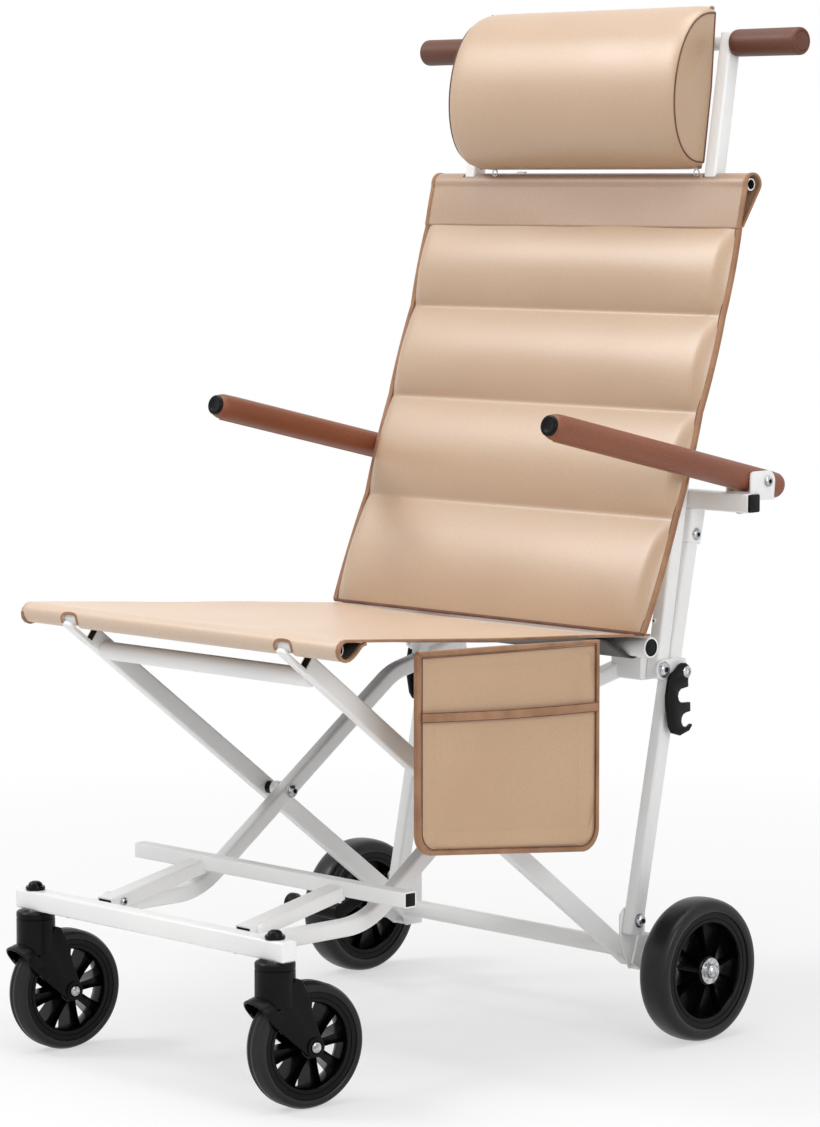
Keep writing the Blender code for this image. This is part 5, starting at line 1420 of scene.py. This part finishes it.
# %% [markdown]
# ## The back
#
# The back is a padded panel. Four channels of foam are sewn between two sheets, so each swells between
# its seams and is pulled in at both sides. It is one closed cover: the channelled front and the flat
# lining share their rims. The front is drawn with its puffs first, and the simulation then fills them
# out. Above it a flat double band goes over the top tube and down behind. Both side edges are bound
# with brown tape. The seams were read off the photograph: each row gives a height and the depth of the
# front at that seam.

# %% Where the back lies
BACK_HALF = 0.2325
BACK_SEAMS = ((0.850, 0.2870), (0.757, 0.262), (0.657, 0.227), (0.5475, 0.190), (0.4315, 0.1405))
PUFF = 0.0125


def seam_depth(z):
    """Depth of the back's seams at height z, straight between them."""
    for (z_high, y_high), (z_low, y_low) in zip(BACK_SEAMS, BACK_SEAMS[1:]):
        if z >= z_low:
            return y_low + (y_high - y_low) * (z - z_low) / (z_high - z_low)
    return BACK_SEAMS[-1][1]


def back_half(z):
    """Half the back's width at height z: each seam draws its edges in a little."""
    for (z_high, _), (z_low, _) in zip(BACK_SEAMS, BACK_SEAMS[1:]):
        if z_low <= z <= z_high:
            return BACK_HALF - 0.0012 + 0.0020 * sin(pi * (z - z_low) / (z_high - z_low)) ** 0.7
    return BACK_HALF - 0.0012


def back_front(u, v):
    """The padded front: v from 0 at the bottom to 1 at the top seam."""
    channels = len(BACK_SEAMS) - 1
    step = min(int(v * channels + 1e-6), channels - 1)
    part = v * channels - step
    z_low, z_high = BACK_SEAMS[channels - step][0], BACK_SEAMS[channels - step - 1][0]
    z = z_low + (z_high - z_low) * part
    half = back_half(min(max(z, BACK_SEAMS[-1][0]), BACK_SEAMS[0][0]))
    x = (2 * u - 1) * half
    edge = min(max((half - abs(x) - 0.0025) / 0.013, 0.0), 1.0)
    puff = PUFF * max(4 * part * (1 - part), 0.0) ** 0.72 * sin(pi / 2 * edge)
    return Vector((x, seam_depth(z) - puff, z))


def back_shape():
    """The closed pad: the channelled front and the flat lining, joined along their rims."""
    shape = bmesh.new()
    for way in ("front", "lining"):
        fresh = bmesh.ops.create_grid(shape, x_segments=84, y_segments=72, size=0.5)["verts"]
        for vert in fresh:
            u, v = round(vert.co.x + 0.5, 6), round(vert.co.y + 0.5, 6)
            point = back_front(u, v)
            if way == "lining":
                inside = 0 < u < 1 and 0 < v < 1
                point.y = seam_depth(point.z) + 0.0024 * inside
            vert.co = point
    bmesh.ops.remove_doubles(shape, verts=shape.verts, dist=0.00002)
    bmesh.ops.recalc_face_normals(shape, faces=shape.faces)
    crease = shape.edges.layers.float.new("crease_edge")
    for edge in shape.edges:
        if any(all(abs(vert.co.z - seam[0]) < 0.0001 for vert in edge.verts) for seam in BACK_SEAMS):
            edge[crease] = 0.9
    return shape


def on_back_seam(point):
    """True on the lining, the rims and the channels' seams, which are all sewn down."""
    return point.y > seam_depth(point.z) - 0.0007


back = make_piece(swell(back_shape(), on_back_seam, pressure=16.0, cap=0.006), "back_padded_panel", BEIGE,
                  "rear_frame", ("back_sling",), crisp=70)
smoothed(back)
print("back is", 2 * BACK_HALF, "m wide")

# %% Top band, with room for the uprights
BAND_R = 0.0112
ROOM_Z = 0.905
ROOM_SIZE = (0.0190, 0.034, 0.080)


def band_rule(u, v):
    """Up behind the top tube, over it and down in front to the top seam."""
    x = (2 * u - 1) * BACK_HALF
    seam_z, seam_y = BACK_SEAMS[0]
    rise_share, loop_share = 0.35, 0.65
    rear, front = radians(-12), radians(190)
    if v < rise_share:
        start = Vector((x, seam_y + 0.0026, seam_z - 0.001))
        return start.lerp(on_circle(x, TOP_TUBE, BAND_R, rear), v / rise_share)
    if v < loop_share:
        turn = rear + (front - rear) * (v - rise_share) / (loop_share - rise_share)
        return on_circle(x, TOP_TUBE, BAND_R, turn)
    dip = noise.noise(Vector((x * 9.0, v * 3.0, 5.0))) * 0.0012
    end = Vector((x, seam_y - 0.0020, seam_z - 0.003))
    down = (v - loop_share) / (1 - loop_share)
    return on_circle(x, TOP_TUBE, BAND_R, front).lerp(end, down) + Vector((0, dip, 0))


# The band takes the darker beige, which is painted shade.
band = laid_sheet("back_top_band", 90, 60, band_rule, 0.0015, BAND_BEIGE_PAINTED_SHADE)
rooms = []
for sign in (1.0, -1.0):
    shape = bmesh.new()
    bmesh.ops.create_cube(shape, size=1.0)
    bmesh.ops.scale(shape, vec=ROOM_SIZE, verts=shape.verts)
    lean = Matrix.Rotation(-atan(UPRIGHT_LEAN), 3, "X")
    bmesh.ops.rotate(shape, cent=(0, 0, 0), matrix=lean, verts=shape.verts)
    place = (sign * LEG_X, upright_y(ROOM_Z) + 0.0072 + CHAIR_SHIFT, ROOM_Z)
    bmesh.ops.translate(shape, vec=place, verts=shape.verts)
    rooms.append(linked_object(shape, "upright_room"))
band = cut_away(band, rooms)
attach(band, "rear_frame")
print("band points:", len(band.data.vertices))

# %% Rings and the strap's buckle above the band
RING_R = 0.0036
WIRE_R = 0.0007
RING_Z = TOP_TUBE[1] + 0.0125
wire = [(WIRE_R * cos(2 * pi * k / 10), RING_R + WIRE_R * sin(2 * pi * k / 10)) for k in range(10)]
for name, x in (("left", 0.163), ("right", -0.136)):
    shape = bmesh.new()
    lathe(shape, wire, (x, TOP_TUBE[0] - 0.0100, RING_Z), ring=True, steps=24, axis=Y_AXIS)
    make_piece(shape, "headrest_ring_" + name, ZINC, "rear_frame")
tube("headrest_buckle", (0.0040, 0.0022, 0.0006), bar_path(-0.100, -0.088, TOP_TUBE[0] - 0.0105, RING_Z),
     Y_AXIS, "rear_frame", finish=COAT)
print("rings are", round(2000 * (RING_R + WIRE_R), 1), "mm across")

# %% Back bindings and bottom piping
for side, sign in SIDES:
    heights = [BACK_SEAMS[-1][0] + 0.4185 * t / 80 for t in range(81)]
    line = [Vector((sign * back_half(z), seam_depth(z) + 0.0006, z)) for z in heights]
    strip("back_binding_" + side, line, X_AXIS, 0.0062, 0.0046, TAPE, "rear_frame", 0.0014)
    stitches = [point + Vector((-sign * 0.0034, -0.0014, 0)) for point in line]
    strip("back_binding_seam_" + side, stitches, X_AXIS, 0.0011, 0.0012, THREAD, "rear_frame", 0.0004)
    loop = [band_rule(0.5 + sign * 0.5, t / 44) for t in range(45)]
    strip("band_binding_" + side, loop, X_AXIS, 0.0050, 0.0028, TAPE, "rear_frame", 0.0008)
# Bottom piping: a real piping, drawn in the dark thread colour as a painted shadow line above the seat.
foot = [Vector((x * BACK_HALF / 20, seam_depth(BACK_SEAMS[-1][0]) + 0.0004, BACK_SEAMS[-1][0] - 0.0005))
        for x in range(-20, 21)]
cord("back_bottom_piping_and_shade_line", foot, Y_AXIS, 0.0019, 12, THREAD, "rear_frame")
print("back bound")

# %% [markdown]
# ## The headrest
#
# The headrest is a half round roll, stuffed with foam, flat behind and closed at both ends by D shaped
# panels. The section is a disc moved into a D, extruded in small steps, and drawn in a little before
# each end, where the seam pulls the cover tight. The simulation then swells it like the back. A dark
# thread runs round each panel, and a brown piping follows its rear corner.

# %% Headrest
HEAD_LOW_Z = 0.908
HEAD_HIGH_Z = 1.0825
HEAD_MIDDLE = (HEAD_LOW_Z + HEAD_HIGH_Z) / 2
HEAD_HIGH = (HEAD_HIGH_Z - HEAD_LOW_Z) / 2
HEAD_DEPTH = 0.0605
HEAD_BACK_Y = 0.3138
HEAD_LEAN = 0.108


def head_point(turn, x, scale):
    """A point of the D section at an angle from the front, scaled about its middle."""
    front = max(cos(turn), 0.0) ** 0.80 if cos(turn) > 0 else 0.0
    y = -HEAD_DEPTH * front + (0.003 * (1 - abs(sin(turn))) if cos(turn) <= 0 else 0.0)
    z = HEAD_HIGH * sin(turn)
    depth = -HEAD_DEPTH * 0.45 + (y + HEAD_DEPTH * 0.45) * scale
    height = HEAD_MIDDLE + z * scale
    return Vector((x, HEAD_BACK_Y + HEAD_LEAN * (height - HEAD_MIDDLE) + depth, height))


def headrest_shape(sides=72):
    """The roll, closed by two slightly domed panels."""
    shape = bmesh.new()
    half = [(0.1676, 0.10), (0.1677, 0.30), (0.1678, 0.50), (0.1679, 0.70), (0.1678, 0.88), (0.1668, 0.920),
            (0.1640, 0.952), (0.1590, 0.976), (0.1530, 0.988), (0.1460, 0.992)]
    reach, scale = half[-1]
    middle = [(reach * k / 20, scale) for k in range(-19, 20)]
    stations = [(-x, scale) for x, scale in half] + middle + half[::-1]
    end = round_section(shape, 1.0, sides)
    turns = [2 * pi * i / sides for i in range(sides)]
    ring = list(end.verts)
    for i, (x, scale) in enumerate(stations):
        if i:
            end = extruded(shape, end, keep=i == 1)
            ring = match_ring(ring, end)
        for vert, turn in zip(ring, turns):
            vert.co = head_point(turn, x, scale)
    bmesh.ops.recalc_face_normals(shape, faces=shape.faces)
    return shape


def match_ring(ring, face):
    """The new ring's points in the order of the old ring's."""
    fresh = set(face.verts)
    return [next(edge.other_vert(vert) for edge in vert.link_edges if edge.other_vert(vert) in fresh)
            for vert in ring]


def on_head_seam(point):
    """True on the flat rear and round the two end seams."""
    on_rear = point.y > HEAD_BACK_Y + HEAD_LEAN * (point.z - HEAD_MIDDLE) - 0.002
    return on_rear or 0.1664 < abs(point.x) < 0.1672


head = make_piece(swell(headrest_shape(), on_head_seam, pressure=5.0, cap=0.004), "headrest_roll", BEIGE,
                  "rear_frame", ("headrest",), crisp=70)
smoothed(head)
for side, sign in SIDES:
    rim = [head_point(2 * pi * k / 72, sign * 0.1674, 0.905) for k in range(73)]
    cord("headrest_piping_" + side, rim, X_AXIS, 0.0009, 8, THREAD, "rear_frame")
    rear_edge = [head_point(radians(88 + 184 * k / 30), sign * 0.1622, 0.972) for k in range(31)]
    cord("headrest_back_piping_" + side, rear_edge, X_AXIS, 0.0014, 8, TAPE, "rear_frame")
print("headrest is", round(head.dimensions.x, 3), "m long")

# %% [markdown]
# ## The side pocket
#
# A flat pouch hangs from the left edge of the seat. Two sheets are bound together with brown tape on
# all four sides, the lower corners are round, and a tape across marks the opening. The pouch is empty,
# so the simulation runs with low pressure and a little spare cloth, which gives it soft waves beside
# the binding.

# %% Pocket
POCKET_X = 0.2515
POCKET_FRONT = -0.205
POCKET_REAR = 0.049
POCKET_CORNER = 0.020
POCKET_LONG = POCKET_REAR - POCKET_FRONT


def pocket_low(u):
    """Height of the pocket's lower edge, u from 0 at the front to 1 at the rear."""
    return 0.245 - 0.022 * u


def pocket_high(u):
    """Height of the pocket's upper edge."""
    return 0.441 - 0.008 * u


def pocket_edge(steps=10):
    """The pocket's outline as (y, z) points, clockwise from the top front."""
    points = [(POCKET_FRONT, pocket_high(0))]
    for u, middle_y, start in ((0, POCKET_FRONT + POCKET_CORNER, 180), (1, POCKET_REAR - POCKET_CORNER, 270)):
        for k in range(steps + 1):
            turn = radians(start + 90 * k / steps)
            points.append((middle_y + POCKET_CORNER * cos(turn),
                           pocket_low(u) + POCKET_CORNER * (1 + sin(turn))))
    points.append((POCKET_REAR, pocket_high(1)))
    return points


def pocket_point(u, v, way):
    """A point of one of the pouch's sheets: u from front to rear, v from the bottom up."""
    low, high = pocket_low(u), pocket_high(u)
    z = low + (high - low) * v
    rise = min((z - low) / POCKET_CORNER, 1.0)
    cut = POCKET_CORNER * (1 - sqrt(max(1 - (1 - rise) ** 2, 0.0)))
    y = POCKET_FRONT + cut + (POCKET_LONG - 2 * cut) * u
    edge = min(u, 1 - u) * POCKET_LONG / 0.060
    edge = min(edge, v * (high - low) / 0.050, (1 - v) * (high - low) / 0.040, 1.0)
    puff = 0.0012 + 0.0042 * sin(pi / 2 * max(edge, 0.0)) ** 0.8
    rim = u in (0.0, 1.0) or v in (0.0, 1.0)
    return Vector((POCKET_X + (0.0 if rim else way * puff), y, z))


def pocket_shape():
    """Two sheets of the pouch, joined along their rims."""
    shape = bmesh.new()
    for way in (1.0, -1.0):
        fresh = bmesh.ops.create_grid(shape, x_segments=48, y_segments=40, size=0.5)["verts"]
        for vert in fresh:
            vert.co = pocket_point(round(vert.co.x + 0.5, 6), round(vert.co.y + 0.5, 6), way)
    bmesh.ops.remove_doubles(shape, verts=shape.verts, dist=0.00002)
    bmesh.ops.recalc_face_normals(shape, faces=shape.faces)
    return shape


def on_pocket_seam(point):
    """True along the pouch's bound rims."""
    low = pocket_low((point.y - POCKET_FRONT) / POCKET_LONG)
    return abs(point.x - POCKET_X) < 0.0016 or point.z < low + 0.004


pocket = make_piece(swell(pocket_shape(), on_pocket_seam, pressure=2.5, cap=0.004, spare=0.003),
                    "side_pocket_pouch", POCKET_BEIGE, "seat_frame", ("side_pocket",), crisp=50)
smoothed(pocket)
print("pocket is", round(POCKET_LONG, 3), "m long")

# %% Pocket bindings and opening tape
outline = [Vector((POCKET_X, y, z)) for y, z in pocket_edge()]
closed_line = outline + [outline[0] + (outline[-1] - outline[0]) * 0.5, outline[0]]
strip("pocket_binding", closed_line, X_AXIS, 0.0062, 0.0056, TAPE, "seat_frame", 0.0015)
middle = Vector((POCKET_X + 0.0030, (POCKET_FRONT + POCKET_REAR) / 2, 0.335))
inner = [Vector((middle.x, middle.y + (point.y - middle.y) * 0.972, middle.z + (point.z - middle.z) * 0.966))
         for point in closed_line]
strip("pocket_binding_seam", inner, X_AXIS, 0.0012, 0.0009, THREAD, "seat_frame", 0.0003)
tape_line = [Vector((POCKET_X + 0.0048 + 0.0012 * sin(pi * t), POCKET_FRONT + 0.002 + 0.250 * t,
                     0.3795 - 0.0125 * t - 0.0015 * sin(pi * t))) for t in [k / 12 for k in range(13)]]
strip("pocket_opening_tape", tape_line, X_AXIS, 0.0016, 0.0080, TAPE, "seat_frame", 0.0005)
for rise, name in ((0.0044, "upper"), (-0.0044, "lower")):
    stitches = [point + Vector((-0.0004, 0, rise)) for point in tape_line]
    strip("pocket_tape_seam_" + name, stitches, X_AXIS, 0.0018, 0.0009, THREAD, "seat_frame", 0.0003)
print("pocket outline points:", len(outline))

# %% [markdown]
# ## The end
#
# The view transform is set to Standard.

# %% Finish
bpy.context.scene.view_settings.view_transform = "Standard"
